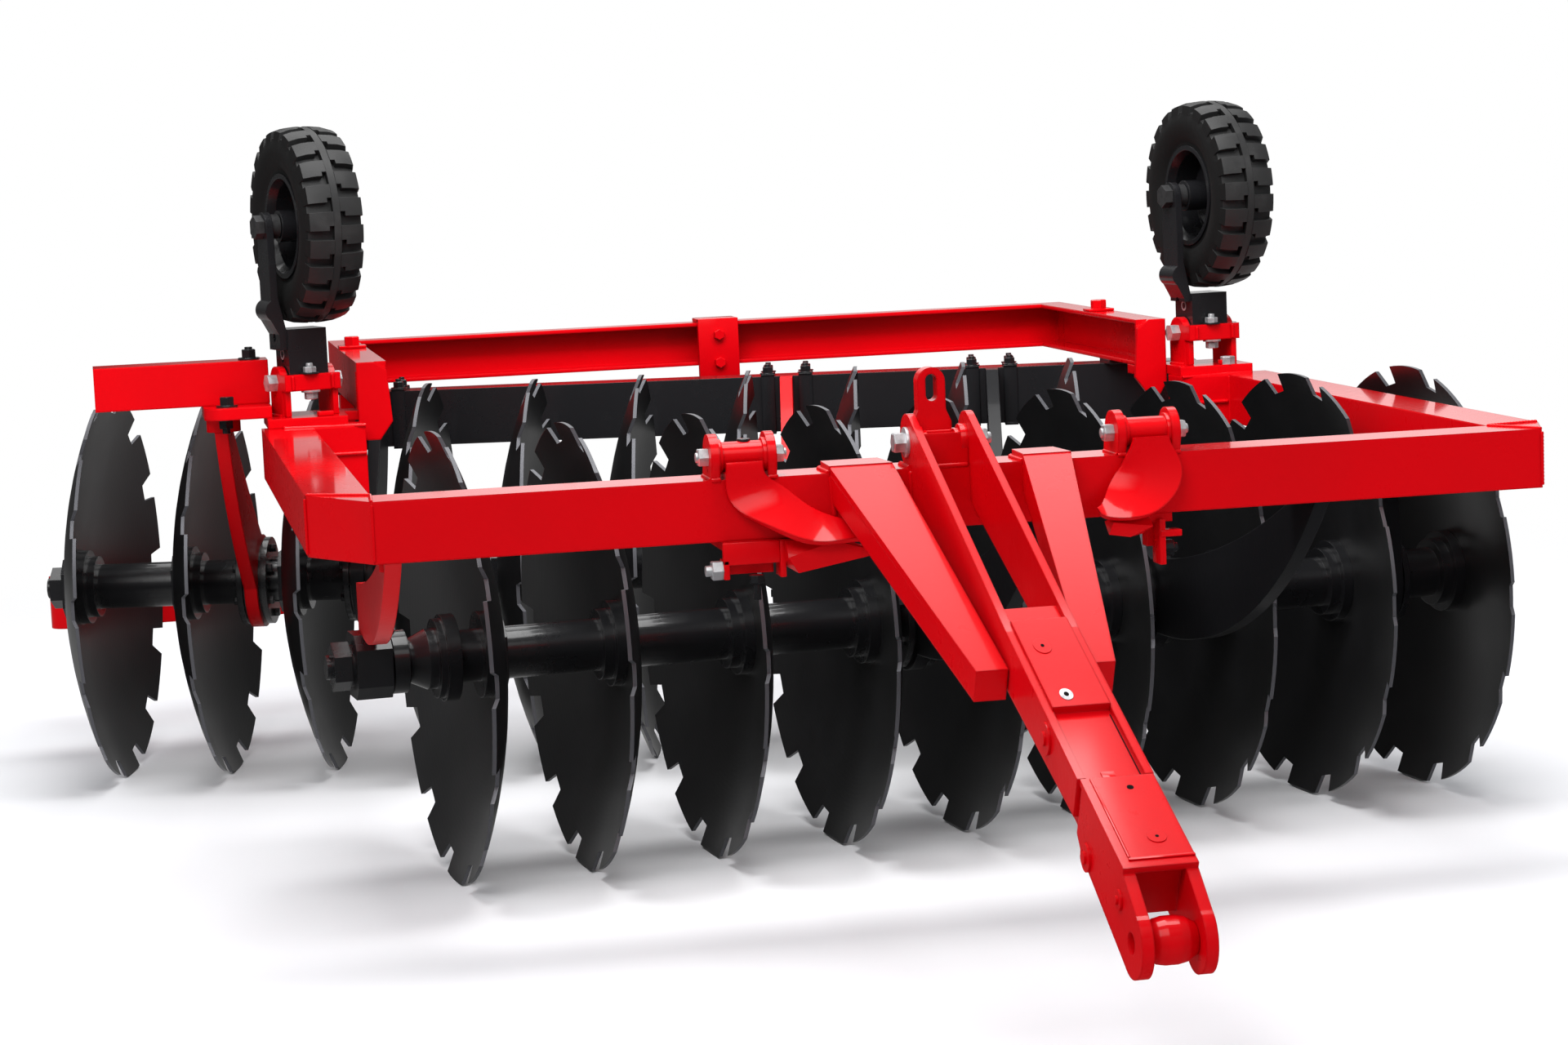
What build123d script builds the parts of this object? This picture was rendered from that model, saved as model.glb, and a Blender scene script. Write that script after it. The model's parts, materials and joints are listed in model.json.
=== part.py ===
from build123d import *
from math import asin, cos, degrees, radians, sin, sqrt, tan
import os

os.makedirs("parts", exist_ok=True)

# Trailed offset disc harrow, millimetres. +Z up, the drawbar points along -Y.
# Sizes are laid out from the ground, the frame's centre line and the plane of the front bar's front face.

# Half the frame's width; the gangs, brackets, rails and outrigger keep their places beside it
frame_half_width = 863.0

# Blades
blade_radius = 330.0
blade_thickness = 6.0
blade_crown = 800.0
blade_flat_radius = 66.0
blade_bore_radius = 18.0
teeth = 14
notch_depth = 27.0
notch_mouth = 54.0
notch_floor = 32.0

# Gangs
axle_height = blade_radius
front_blades = 9
front_angle = 5.63
front_inset_left = 210.0
front_outset_right = 33.3
front_start = (-frame_half_width + front_inset_left, 517.6)
front_run = 2 * frame_half_width - front_inset_left + front_outset_right
front_spacing = front_run / cos(radians(front_angle)) / (front_blades - 1)
rear_blades = 10
rear_angle = -13.07
rear_outset_left = 242.0
rear_inset_right = 353.1
rear_start = (-frame_half_width - rear_outset_left, 1594.6)
rear_run = 2 * frame_half_width + rear_outset_left - rear_inset_right
rear_spacing = rear_run / cos(radians(rear_angle)) / (rear_blades - 1)
spool_radius = 38.5
spool_flange_radius = 63.5
spool_flange_thickness = 16.0
spool_washer_size = 104.0
spool_washer_thickness = 12.0
axle_radius = 17.5
axle_nut_size = 62.0
axle_nut_thickness = 26.0

# Bearings and hangers
running_gap = 0.3
housing_radius = 66.0
housing_width = 52.0
dust_ring_radius = 75.0
dust_ring_width = 10.0
end_block_size = 94.0
end_block_width = 52.0
end_journal_radius = 30.0
hanger_thickness = 22.0
hanger_rim = 14.0

# Main frame
tube = 82.0
frame_top = 619.0
chamfer_left = (77.0, 129.0)
chamfer_right = (37.0, 96.0)
beam_end = 1232.0

# Wheel brackets
bracket_left = frame_half_width - 75
bracket_right = frame_half_width - 97
bracket_row = 1280.0
base_plate_thickness = 16.0
base_plate_width = 130.0
base_plate_lap = 55.0
base_plate_front = 1205.0
base_plate_back = 1345.0
post_size = 66.0
post_side_gap = 1.5
ear_thickness = 13.0
ear_height = 82.0
ear_depth = 58.0
band_height = 27.0
band_thickness = 14.0
band_base = 677.0
clamp_bolt_height = 690.0
clamp_bolt_radius = 8.0
clamp_head_size = 26.0
clamp_head_thickness = 16.0
box_post_width = 84.0
box_post_foot = 500.0
left_turn = 15.0
right_turn = 8.0

# Wheels
hub_height = 946.0
right_drop = 20.0
wheel_shift = 20.0
tyre_radius = 161.0
tyre_width = 108.0
rim_radius = 78.0
rim_width = 84.0
rim_wall = 4.0
hub_radius = 26.0
hub_length = 96.0
stub_radius = 11.0
arm_thickness = 12.0
arm_width = 52.0
post_foot = 676.0
under_tyre = 7.0
foot_over_ear = 27.0

# Rear subframe
rail_width = 50.0
rail_top = 715.0
rail_inner = frame_half_width - 213
rear_bar_front = 1886.0
channel_wall = 7.0
gang_beam_height = 100.0
gang_beam_depth = 70.0
gang_beam_offset = 292.0
gang_beam_drop = 8.0
gang_beam_left = -frame_half_width + 173
gang_beam_right = frame_half_width - 118

# Outrigger
outrigger_left = -frame_half_width - 264
outrigger_right = -frame_half_width + 20
outrigger_size = 72.0
outrigger_front = 1300.0
pivot_plate_thickness = 20.0
pivot_boss_radius = 28.0
pivot_boss_height = 24.0
band_strap_thickness = 8.0
band_strap_height = 95.0

# Rear strap
strap_y = 1975.0
strap_base = 208.0
strap_left = -frame_half_width - 369
strap_post_left = -frame_half_width + 183
strap_post_width = 40.0
strap_right = strap_post_left + strap_post_width
strap_loop = 60.0

# Drawbar
drawbar_centre = -25.0
drawbar_width = 70.0
drawbar_depth = 66.0
drawbar_slope = 24.0
drawbar_line = 660.0
cheek_thickness = 10.0
cheek_head_radius = 38.0
cheek_head_back = 20.0
box_start = 400.0
sleeve_start = 752.0
sleeve_end = 925.0
sleeve_wall = 8.0
clevis_pin_radius = 12.5
clevis_ear_radius = 40.0
clevis_ear_thickness = 14.0
clevis_hole = (-925.0, 188.0)
bush_radius = 27.0
brace_thickness = 10.0

frame_bottom = frame_top - tube
base_plate_top = frame_top + base_plate_thickness
rail_bottom = base_plate_top


def blade_sag(r):
    flat = blade_crown - sqrt(blade_crown**2 - blade_flat_radius**2)
    return blade_crown - sqrt(blade_crown**2 - r**2) - flat


blade_depth = blade_sag(blade_radius)


class Gang:
    """Planes of one gang: blades stand square to its axis."""

    def __init__(self, start, angle, dish):
        self.axis = Vector(cos(radians(angle)), sin(radians(angle)), 0)
        self.ahead = Vector(sin(radians(angle)), -cos(radians(angle)), 0)
        self.dish = dish
        rim = Vector(start[0], start[1], axle_height)
        self.hub = rim - self.axis * (dish * blade_depth)
        self.profile = Plane(origin=self.hub, x_dir=self.axis, z_dir=self.ahead)
        self.face = Plane(origin=self.hub, x_dir=(0, 0, 1), z_dir=self.axis)
        self.line = Axis(self.hub, self.axis)

    def steps(self, count, pitch):
        return [tuple(self.axis * (pitch * k)) for k in range(count)]


front_gang = Gang(front_start, front_angle, -1)
rear_gang = Gang(rear_start, rear_angle, 1)
front_last = (front_blades - 1) * front_spacing
rear_last = (rear_blades - 1) * rear_spacing
end_washer_thickness = 18.0
axle_overhang = 8.0
front_axle_end = front_last + blade_thickness / 2 + end_washer_thickness + axle_nut_thickness + axle_overhang
rear_axle_end = rear_last + blade_thickness / 2 + end_washer_thickness + axle_nut_thickness + axle_overhang

# The finished pieces are set down with the middle of the machine's outline over the origin
outline_left = strap_left
outline_right = (front_gang.hub + front_gang.axis * front_axle_end).X + axle_radius * sin(radians(front_angle))
outline_front = clevis_hole[0] - clevis_ear_radius
outline_back = strap_y + strap_loop
park = Vector(-(outline_left + outline_right) / 2, -(outline_front + outline_back) / 2, 0)


# Notched spherical blades
def make_blade(gang):
    half = blade_thickness / 2
    middle = (blade_flat_radius + blade_radius) / 2
    rim = gang.dish * blade_depth
    bow = gang.dish * blade_sag(middle)
    with BuildPart() as blade:
        with BuildSketch(gang.profile):
            with BuildLine():
                Polyline((rim - half, blade_radius), (rim + half, blade_radius))
                ThreePointArc((rim + half, blade_radius), (bow + half, middle), (half, blade_flat_radius))
                Polyline((half, blade_flat_radius), (half, blade_bore_radius), (-half, blade_bore_radius),
                         (-half, blade_flat_radius))
                ThreePointArc((-half, blade_flat_radius), (bow - half, middle), (rim - half, blade_radius))
            make_face()
        revolve(axis=gang.line)
        with BuildSketch(gang.face):
            with PolarLocations(blade_radius, teeth, start_angle=180 / teeth):
                Polygon((-notch_depth, -notch_floor / 2), (6, -notch_mouth / 2), (6, notch_mouth / 2),
                        (-notch_depth, notch_floor / 2), align=None)
        extrude(amount=2 * blade_depth, both=True, mode=Mode.SUBTRACT)
    return blade.part


front_blade = make_blade(front_gang)
with BuildPart() as front_discs:
    with Locations(*front_gang.steps(front_blades, front_spacing)):
        add(front_blade)
front_discs.part.label = "front_discs"
front_discs.part.position = park
export_step(front_discs.part, "parts/front_discs.step")

rear_blade = make_blade(rear_gang)
with BuildPart() as rear_discs:
    with Locations(*rear_gang.steps(rear_blades, rear_spacing)):
        add(rear_blade)
rear_discs.part.label = "rear_discs"
rear_discs.part.position = park
export_step(rear_discs.part, "parts/rear_discs.step")


# Spools: a tube with a round flange in each blade's hollow side and a square washer on its bulged side
def make_spool(gang, pitch):
    near = blade_thickness / 2
    far = pitch - blade_thickness / 2
    if gang.dish < 0:
        flange = far - spool_flange_thickness
        washer = near
    else:
        flange = near
        washer = far - spool_washer_thickness
    with BuildPart() as spool:
        with BuildSketch(gang.face.offset(near)):
            Circle(spool_radius)
        extrude(amount=far - near)
        with BuildSketch(gang.face.offset(flange)):
            Circle(spool_flange_radius)
        extrude(amount=spool_flange_thickness)
        with BuildSketch(gang.face.offset(flange + gang.dish * spool_flange_thickness)):
            Circle(spool_flange_radius - 11)
        extrude(amount=spool_flange_thickness)
        with BuildSketch(gang.face.offset(washer)) as square:
            Rectangle(spool_washer_size, spool_washer_size)
            chamfer(square.vertices(), 22)
        extrude(amount=spool_washer_thickness)
        with BuildSketch(gang.face.offset(near)):
            Circle(axle_radius)
        extrude(amount=far - near, mode=Mode.SUBTRACT)
    return spool.part


def make_axle(gang, first, last):
    with BuildPart() as axle:
        with BuildSketch(gang.face.offset(first)):
            Circle(axle_radius)
        extrude(amount=last - first)
        for where in (first + axle_overhang, last - axle_overhang - axle_nut_thickness):
            with BuildSketch(gang.face.offset(where)):
                RegularPolygon(axle_nut_size / 2, 6, major_radius=False)
            extrude(amount=axle_nut_thickness)
    return axle.part


def make_end_washer(gang, start, width, size):
    with BuildPart() as washer:
        with BuildSketch(gang.face.offset(start)) as square:
            Rectangle(size, size)
            chamfer(square.vertices(), 22)
            Circle(axle_radius, mode=Mode.SUBTRACT)
        extrude(amount=width)
    return washer.part


def make_end_cone(gang, profile):
    with BuildPart() as cone:
        with BuildSketch(gang.profile):
            Polygon(*profile, align=None)
        revolve(axis=gang.line)
    return cone.part


end_block_start = -204.0
end_block_end = end_block_start + end_block_width
journal_start = end_block_start - 4
hub_face = -blade_thickness / 2
front_end_profile = [
    (journal_start, axle_radius), (journal_start, end_journal_radius), (end_block_end + 3, end_journal_radius),
    (end_block_end + 3, 46), (end_block_end + 25, 46), (end_block_end + 30, 32),
    (end_block_end + 55, 44), (end_block_end + 68, 44), (end_block_end + 68, 58),
    (end_block_end + 78, 58), (end_block_end + 78, spool_flange_radius), (end_block_end + 98, spool_flange_radius),
    (end_block_end + 98, spool_radius), (hub_face - 16, spool_radius), (hub_face - 16, spool_flange_radius),
    (hub_face, spool_flange_radius), (hub_face, axle_radius),
]
front_spool = make_spool(front_gang, front_spacing)
front_end_cone = make_end_cone(front_gang, front_end_profile)
front_end_washer = make_end_washer(front_gang, front_last + blade_thickness / 2, end_washer_thickness, spool_washer_size)
with BuildPart() as front_spools:
    with Locations(*front_gang.steps(front_blades - 1, front_spacing)):
        add(front_spool)
    add(front_end_cone)
    add(front_end_washer)
front_spools.part.label = "front_spools"
front_spools.part.position = park
export_step(front_spools.part, "parts/front_spools.step")

with BuildPart() as front_axle:
    add(make_axle(front_gang, journal_start - axle_nut_thickness - axle_overhang,
                  front_axle_end))
front_axle.part.label = "front_axle"
front_axle.part.position = park
export_step(front_axle.part, "parts/front_axle.step")

rear_spool = make_spool(rear_gang, rear_spacing)
rear_left_washer = make_end_washer(rear_gang, hub_face - end_washer_thickness, end_washer_thickness, spool_washer_size)
rear_right_washer = make_end_washer(rear_gang, rear_last + blade_thickness / 2, end_washer_thickness, spool_washer_size)
with BuildPart() as rear_spools:
    with Locations(*rear_gang.steps(rear_blades - 1, rear_spacing)):
        add(rear_spool)
    add(rear_left_washer)
    add(rear_right_washer)
rear_spools.part.label = "rear_spools"
rear_spools.part.position = park
export_step(rear_spools.part, "parts/rear_spools.step")

with BuildPart() as rear_axle:
    add(make_axle(rear_gang, hub_face - end_washer_thickness - axle_nut_thickness - axle_overhang,
                  rear_axle_end))
rear_axle.part.label = "rear_axle"
rear_axle.part.position = park
export_step(rear_axle.part, "parts/rear_axle.step")


# Bearing housings with two dust rings, carried in the hangers' eyes
def make_housing(gang, where):
    start = where - housing_width / 2
    bore = spool_radius + running_gap
    with BuildPart() as housing:
        with BuildSketch(gang.face.offset(start)):
            Circle(housing_radius)
            Circle(bore, mode=Mode.SUBTRACT)
        extrude(amount=housing_width)
        for ring in (start, start + housing_width - dust_ring_width):
            with BuildSketch(gang.face.offset(ring)):
                Circle(dust_ring_radius)
                Circle(housing_radius, mode=Mode.SUBTRACT)
            extrude(amount=dust_ring_width)
    return housing.part


front_gaps = (3, 5, 7)
bar_hung = 2
front_seats = [k * front_spacing + (front_spacing - blade_depth) / 2 for k in front_gaps]
rear_gaps = (2, 6, 8)
rear_seats = [k * rear_spacing + (rear_spacing + blade_depth) / 2 for k in rear_gaps]
outrigger_seat = rear_spacing + (rear_spacing + blade_depth) / 2

with BuildPart() as front_bearings:
    for seat in front_seats:
        add(make_housing(front_gang, seat))
    with BuildSketch(front_gang.face.offset(end_block_start)) as end_square:
        Rectangle(end_block_size, end_block_size)
        chamfer(end_square.vertices(), 20)
        Circle(end_journal_radius + running_gap, mode=Mode.SUBTRACT)
    extrude(amount=end_block_width)
front_bearings.part.label = "front_bearings"
front_bearings.part.position = park
export_step(front_bearings.part, "parts/front_bearings.step")

with BuildPart() as rear_bearings:
    for seat in rear_seats + [outrigger_seat]:
        add(make_housing(rear_gang, seat))
rear_bearings.part.label = "rear_bearings"
rear_bearings.part.position = park
export_step(rear_bearings.part, "parts/rear_bearings.step")


# Front hangers: curved plates from under the front bar back and down to the bearings
def make_front_hanger(seat):
    foot = front_gang.hub + front_gang.axis * seat
    reach = (foot.Y - tube / 2) / cos(radians(front_angle))
    rise = frame_bottom - axle_height
    with BuildPart() as hanger:
        with BuildSketch(front_gang.face.offset(seat)):
            with BuildLine():
                Polyline((rise, reach + 34), (rise, reach - 34))
                ThreePointArc((rise, reach - 34), (0.62 * rise, 0.62 * reach), (0.30 * rise, 0))
                Polyline((0.30 * rise, 0), (-0.20 * rise, 0))
                ThreePointArc((-0.20 * rise, 0), (0.18 * rise, 0.72 * reach), (rise, reach + 34))
            make_face()
            Circle(housing_radius + hanger_rim)
            Circle(housing_radius, mode=Mode.SUBTRACT)
        extrude(amount=hanger_thickness / 2, both=True)
    return hanger.part


end_foot = front_gang.hub + front_gang.axis * (end_block_start + end_block_width / 2)
end_top = end_block_size / 2
side_foot = front_gang.hub + front_gang.axis * front_seats[bar_hung]
hang_rise = frame_bottom - axle_height
with BuildPart() as front_hangers:
    for seat in front_seats[:bar_hung]:
        add(make_front_hanger(seat))
    with BuildSketch(Plane(origin=(end_foot.X, end_foot.Y, axle_height), x_dir=(0, 0, 1), z_dir=(1, 0, 0))):
        with BuildLine():
            Polyline((hang_rise, end_foot.Y), (hang_rise, end_foot.Y - tube))
            ThreePointArc((hang_rise, end_foot.Y - tube), (0.72 * hang_rise, 0.40 * end_foot.Y), (0.56 * hang_rise, -30))
            Polyline((0.56 * hang_rise, -30), (end_top, -30), (end_top, 34))
            ThreePointArc((end_top, 34), (0.44 * hang_rise, 0.62 * end_foot.Y), (hang_rise, end_foot.Y))
        make_face()
    extrude(amount=hanger_thickness / 2, both=True)
    with BuildSketch(front_gang.face.offset(front_seats[bar_hung])):
        Polygon((hang_rise, 60), (hang_rise, -60), (0, -housing_radius - hanger_rim), (0, housing_radius + hanger_rim),
                align=None)
        Circle(housing_radius + hanger_rim)
        Circle(housing_radius, mode=Mode.SUBTRACT)
    extrude(amount=hanger_thickness / 2, both=True)
front_hangers.part.label = "front_hangers"
front_hangers.part.position = park
export_step(front_hangers.part, "parts/front_hangers.step")

# Rear hangers: hooked over the front of the gang beam, then forward and down to the bearings
beam_top_rise = rail_bottom - gang_beam_drop - axle_height
with BuildPart() as rear_hangers:
    for seat in rear_seats:
        with BuildSketch(rear_gang.face.offset(seat)):
            with BuildLine():
                Polyline((beam_top_rise, -gang_beam_offset), (beam_top_rise, -gang_beam_offset + 44))
                ThreePointArc((beam_top_rise, -gang_beam_offset + 44), (130, -120), (60, 0))
                Polyline((60, 0), (-60, 0))
                ThreePointArc((-60, 0), (62, -200), (beam_top_rise - gang_beam_height, -gang_beam_offset))
                Polyline((beam_top_rise - gang_beam_height, -gang_beam_offset), (beam_top_rise, -gang_beam_offset))
            make_face()
            Circle(housing_radius + hanger_rim)
            Circle(housing_radius, mode=Mode.SUBTRACT)
        extrude(amount=hanger_thickness / 2, both=True)
rear_hangers.part.label = "rear_hangers"
rear_hangers.part.position = park
export_step(rear_hangers.part, "parts/rear_hangers.step")

# Rear gang beam: a box along the gang, behind the blades and under the rails
beam_plane = Plane(origin=rear_gang.hub, x_dir=rear_gang.axis, z_dir=(0, 0, 1))
beam_first = (gang_beam_left - rear_gang.hub.X) / cos(radians(rear_angle))
beam_last = (gang_beam_right - rear_gang.hub.X) / cos(radians(rear_angle))
beam_bottom_rise = beam_top_rise - gang_beam_height
beam_middle = gang_beam_offset + gang_beam_depth / 2
with BuildPart() as rear_gang_beam:
    with BuildSketch(beam_plane.offset(beam_bottom_rise)):
        with Locations(((beam_first + beam_last) / 2, beam_middle)):
            Rectangle(beam_last - beam_first, gang_beam_depth)
    extrude(amount=gang_beam_height)
rear_gang_beam.part.label = "rear_gang_beam"
rear_gang_beam.part.position = park
export_step(rear_gang_beam.part, "parts/rear_gang_beam.step")

# Front bar with its two chamfered corner pieces
front_left = -frame_half_width + chamfer_left[0]
front_right = frame_half_width - chamfer_right[0]
inner_half = frame_half_width - tube
with BuildPart() as front_bar:
    with BuildSketch(Plane.XY.offset(frame_bottom)):
        Polygon((-frame_half_width, chamfer_left[1]), (front_left, 0), (front_right, 0),
                (frame_half_width, chamfer_right[1]), (inner_half, tube), (-inner_half, tube), align=None)
    extrude(amount=tube)
front_bar.part.label = "front_bar"
front_bar.part.position = park
export_step(front_bar.part, "parts/front_bar.step")


# Side beams, mitred to the corner pieces
def make_side_beam(side, chamfer_y):
    with BuildPart() as beam:
        with BuildSketch(Plane.XY.offset(frame_bottom)):
            Polygon((side * frame_half_width, chamfer_y), (side * inner_half, tube), (side * inner_half, beam_end),
                    (side * frame_half_width, beam_end), align=None)
        extrude(amount=tube)
    return beam.part


with BuildPart() as side_beam_left:
    add(make_side_beam(-1, chamfer_left[1]))
side_beam_left.part.label = "side_beam_left"
side_beam_left.part.position = park
export_step(side_beam_left.part, "parts/side_beam_left.step")

with BuildPart() as side_beam_right:
    add(make_side_beam(1, chamfer_right[1]))
side_beam_right.part.label = "side_beam_right"
side_beam_right.part.position = park
export_step(side_beam_right.part, "parts/side_beam_right.step")


# Box posts beside the beams' rear ends, under the wheel brackets
def make_box_post(side):
    with BuildPart() as post:
        with BuildSketch(Plane.XY.offset(box_post_foot)):
            with Locations((side * (inner_half - box_post_width / 2), beam_end - 10)):
                Rectangle(box_post_width, 78)
        extrude(amount=frame_top - box_post_foot)
    return post.part


with BuildPart() as box_post_left:
    add(make_box_post(-1))
box_post_left.part.label = "box_post_left"
box_post_left.part.position = park
export_step(box_post_left.part, "parts/box_post_left.step")

with BuildPart() as box_post_right:
    add(make_box_post(1))
box_post_right.part.label = "box_post_right"
box_post_right.part.position = park
export_step(box_post_right.part, "parts/box_post_right.step")


# Wheel brackets: a base plate, two rounded ears and a front band round the post
def bracket_middle(side):
    return -bracket_left if side < 0 else bracket_right


def bracket_plane(side, turn, height):
    return Plane(origin=(bracket_middle(side), bracket_row, height), x_dir=(cos(radians(turn)), sin(radians(turn)), 0),
                 z_dir=(0, 0, 1))


def ear_plane(side, turn, across):
    base = bracket_plane(side, turn, base_plate_top)
    origin = base.origin + base.x_dir * across
    return Plane(origin=origin, x_dir=base.y_dir, z_dir=base.x_dir)


def make_bracket(side, turn):
    inner = post_size / 2 + post_side_gap
    with BuildPart() as bracket:
        with BuildSketch(Plane.XY.offset(frame_top)):
            with Locations((bracket_middle(side), (base_plate_front + base_plate_back) / 2)):
                Rectangle(base_plate_width, base_plate_back - base_plate_front)
            with Locations(((side * rail_inner + bracket_middle(side)) / 2, base_plate_back - base_plate_lap / 2)):
                Rectangle(abs(bracket_middle(side)) - rail_inner, base_plate_lap)
        extrude(amount=base_plate_thickness)
        for start in (-inner - ear_thickness, inner):
            with BuildSketch(ear_plane(side, turn, start)):
                with Locations((0, (ear_height - ear_depth / 2) / 2)):
                    Rectangle(ear_depth, ear_height - ear_depth / 2)
                with Locations((0, ear_height - ear_depth / 2)):
                    Circle(ear_depth / 2)
                with Locations((0, clamp_bolt_height - base_plate_top)):
                    Circle(clamp_bolt_radius, mode=Mode.SUBTRACT)
            extrude(amount=ear_thickness)
        with BuildSketch(bracket_plane(side, turn, band_base)):
            with Locations((0, -post_size / 2 - post_side_gap - band_thickness / 2)):
                Rectangle(2 * (inner + ear_thickness), band_thickness)
            for across in (-inner - ear_thickness / 2, inner + ear_thickness / 2):
                with Locations((across, -post_size / 2 - post_side_gap)):
                    Rectangle(ear_thickness, 30)
        extrude(amount=band_height)
    return bracket.part


with BuildPart() as wheel_bracket_left:
    add(make_bracket(-1, left_turn))
wheel_bracket_left.part.label = "wheel_bracket_left"
wheel_bracket_left.part.position = park
export_step(wheel_bracket_left.part, "parts/wheel_bracket_left.step")

with BuildPart() as wheel_bracket_right:
    add(make_bracket(1, right_turn))
wheel_bracket_right.part.label = "wheel_bracket_right"
wheel_bracket_right.part.position = park
export_step(wheel_bracket_right.part, "parts/wheel_bracket_right.step")


# Clamp bolts: one through each ear, bearing on the post
def make_clamp_bolt(side, turn, toward):
    inner = post_size / 2 + running_gap
    outer = post_size / 2 + post_side_gap + ear_thickness
    plane = ear_plane(side, turn, 0)
    rise = clamp_bolt_height - base_plate_top
    with BuildPart() as bolt:
        with BuildSketch(plane.offset(toward * inner)):
            with Locations((0, rise)):
                Circle(clamp_bolt_radius)
        extrude(amount=toward * (outer - inner))
        with BuildSketch(plane.offset(toward * outer)):
            with Locations((0, rise)):
                RegularPolygon(clamp_head_size / 2, 6, major_radius=False)
        extrude(amount=toward * clamp_head_thickness)
    return bolt.part


with BuildPart() as clamp_bolts:
    for side, turn in ((-1, left_turn), (1, right_turn)):
        for toward in (-1, 1):
            add(make_clamp_bolt(side, turn, toward))
clamp_bolts.part.label = "clamp_bolts"
clamp_bolts.part.position = park
export_step(clamp_bolts.part, "parts/clamp_bolts.step")


# Posts: a square tube with setting holes, and a flat arm that is joggled out past the tyre to the hub
arm_face = tyre_width / 2 + 10


def wheel_hub(side):
    return hub_height if side < 0 else hub_height - right_drop


def post_top(side):
    return wheel_hub(side) - tyre_radius - under_tyre


def make_post(side, turn):
    hub = wheel_hub(side)
    top = post_top(side)
    inner = wheel_shift - arm_face
    outer = inner - arm_thickness
    flank = -post_size / 2
    foot = base_plate_top + ear_height + foot_over_ear
    knee = top + 32
    upright = bracket_plane(side, turn, 0)
    with BuildPart() as post:
        with BuildSketch(bracket_plane(side, turn, post_foot)):
            Rectangle(post_size, post_size)
        extrude(amount=top - post_foot)
        with BuildSketch(Plane(origin=upright.origin, x_dir=upright.x_dir, z_dir=-upright.y_dir)):
            with BuildLine():
                Polyline((flank, foot), (flank, top), (inner, knee + 20), (inner, hub - 60), (outer, hub - 60),
                         (outer, knee + 16))
                ThreePointArc((outer, knee + 16), (outer - 10, knee), (outer - 2, knee - 16))
                Polyline((outer - 2, knee - 16), (flank - arm_thickness, top - 8), (flank - arm_thickness, foot),
                         (flank, foot))
            make_face()
        extrude(amount=27, both=True)
        with BuildSketch(ear_plane(side, turn, outer)):
            with BuildLine():
                Polyline((-27, hub - 64 - base_plate_top), (27, hub - 64 - base_plate_top), (24, hub - base_plate_top))
                ThreePointArc((24, hub - base_plate_top), (0, hub + 24 - base_plate_top), (-24, hub - base_plate_top))
                Polyline((-24, hub - base_plate_top), (-27, hub - 64 - base_plate_top))
            make_face()
        extrude(amount=arm_thickness)
        for down in (14, 48):
            with BuildSketch(ear_plane(side, turn, 0)):
                with Locations((0, top - down - base_plate_top)):
                    Circle(7)
            extrude(amount=post_size, both=True, mode=Mode.SUBTRACT)
        with BuildSketch(ear_plane(side, turn, outer)):
            with Locations((0, hub - base_plate_top)):
                Circle(stub_radius)
        extrude(amount=arm_thickness, mode=Mode.SUBTRACT)
    return post.part


with BuildPart() as wheel_post_left:
    add(make_post(-1, left_turn))
wheel_post_left.part.label = "wheel_post_left"
wheel_post_left.part.position = park
export_step(wheel_post_left.part, "parts/wheel_post_left.step")

with BuildPart() as wheel_post_right:
    add(make_post(1, right_turn))
wheel_post_right.part.label = "wheel_post_right"
wheel_post_right.part.position = park
export_step(wheel_post_right.part, "parts/wheel_post_right.step")


# Stub axles: a bolt through the arm, with its head outside and a nut beyond the hub
def wheel_planes(side, turn):
    post = bracket_plane(side, turn, wheel_hub(side))
    base = Plane(origin=post.origin + post.x_dir * wheel_shift, x_dir=post.x_dir, z_dir=post.z_dir)
    face = Plane(origin=base.origin, x_dir=(0, 0, 1), z_dir=base.x_dir)
    profile = Plane(origin=base.origin, x_dir=base.x_dir, z_dir=-base.y_dir)
    return face, profile, Axis(base.origin, base.x_dir)


def make_stub(side, turn):
    face, profile, line = wheel_planes(side, turn)
    outside = -arm_face - arm_thickness
    with BuildPart() as stub:
        with BuildSketch(face.offset(outside)):
            Circle(stub_radius)
        extrude(amount=hub_length / 2 + 2 - outside + 12)
        with BuildSketch(face.offset(outside - 14)):
            RegularPolygon(17, 6, major_radius=False)
        extrude(amount=14)
        with BuildSketch(face.offset(-arm_face)):
            Circle(hub_radius - 6)
        extrude(amount=arm_face - hub_length / 2 - 1)
        with BuildSketch(face.offset(hub_length / 2 + 1)):
            RegularPolygon(17, 6, major_radius=False)
        extrude(amount=12)
    return stub.part


with BuildPart() as wheel_stub_left:
    add(make_stub(-1, left_turn))
wheel_stub_left.part.label = "wheel_stub_left"
wheel_stub_left.part.position = park
export_step(wheel_stub_left.part, "parts/wheel_stub_left.step")

with BuildPart() as wheel_stub_right:
    add(make_stub(1, right_turn))
wheel_stub_right.part.label = "wheel_stub_right"
wheel_stub_right.part.position = park
export_step(wheel_stub_right.part, "parts/wheel_stub_right.step")


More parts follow.
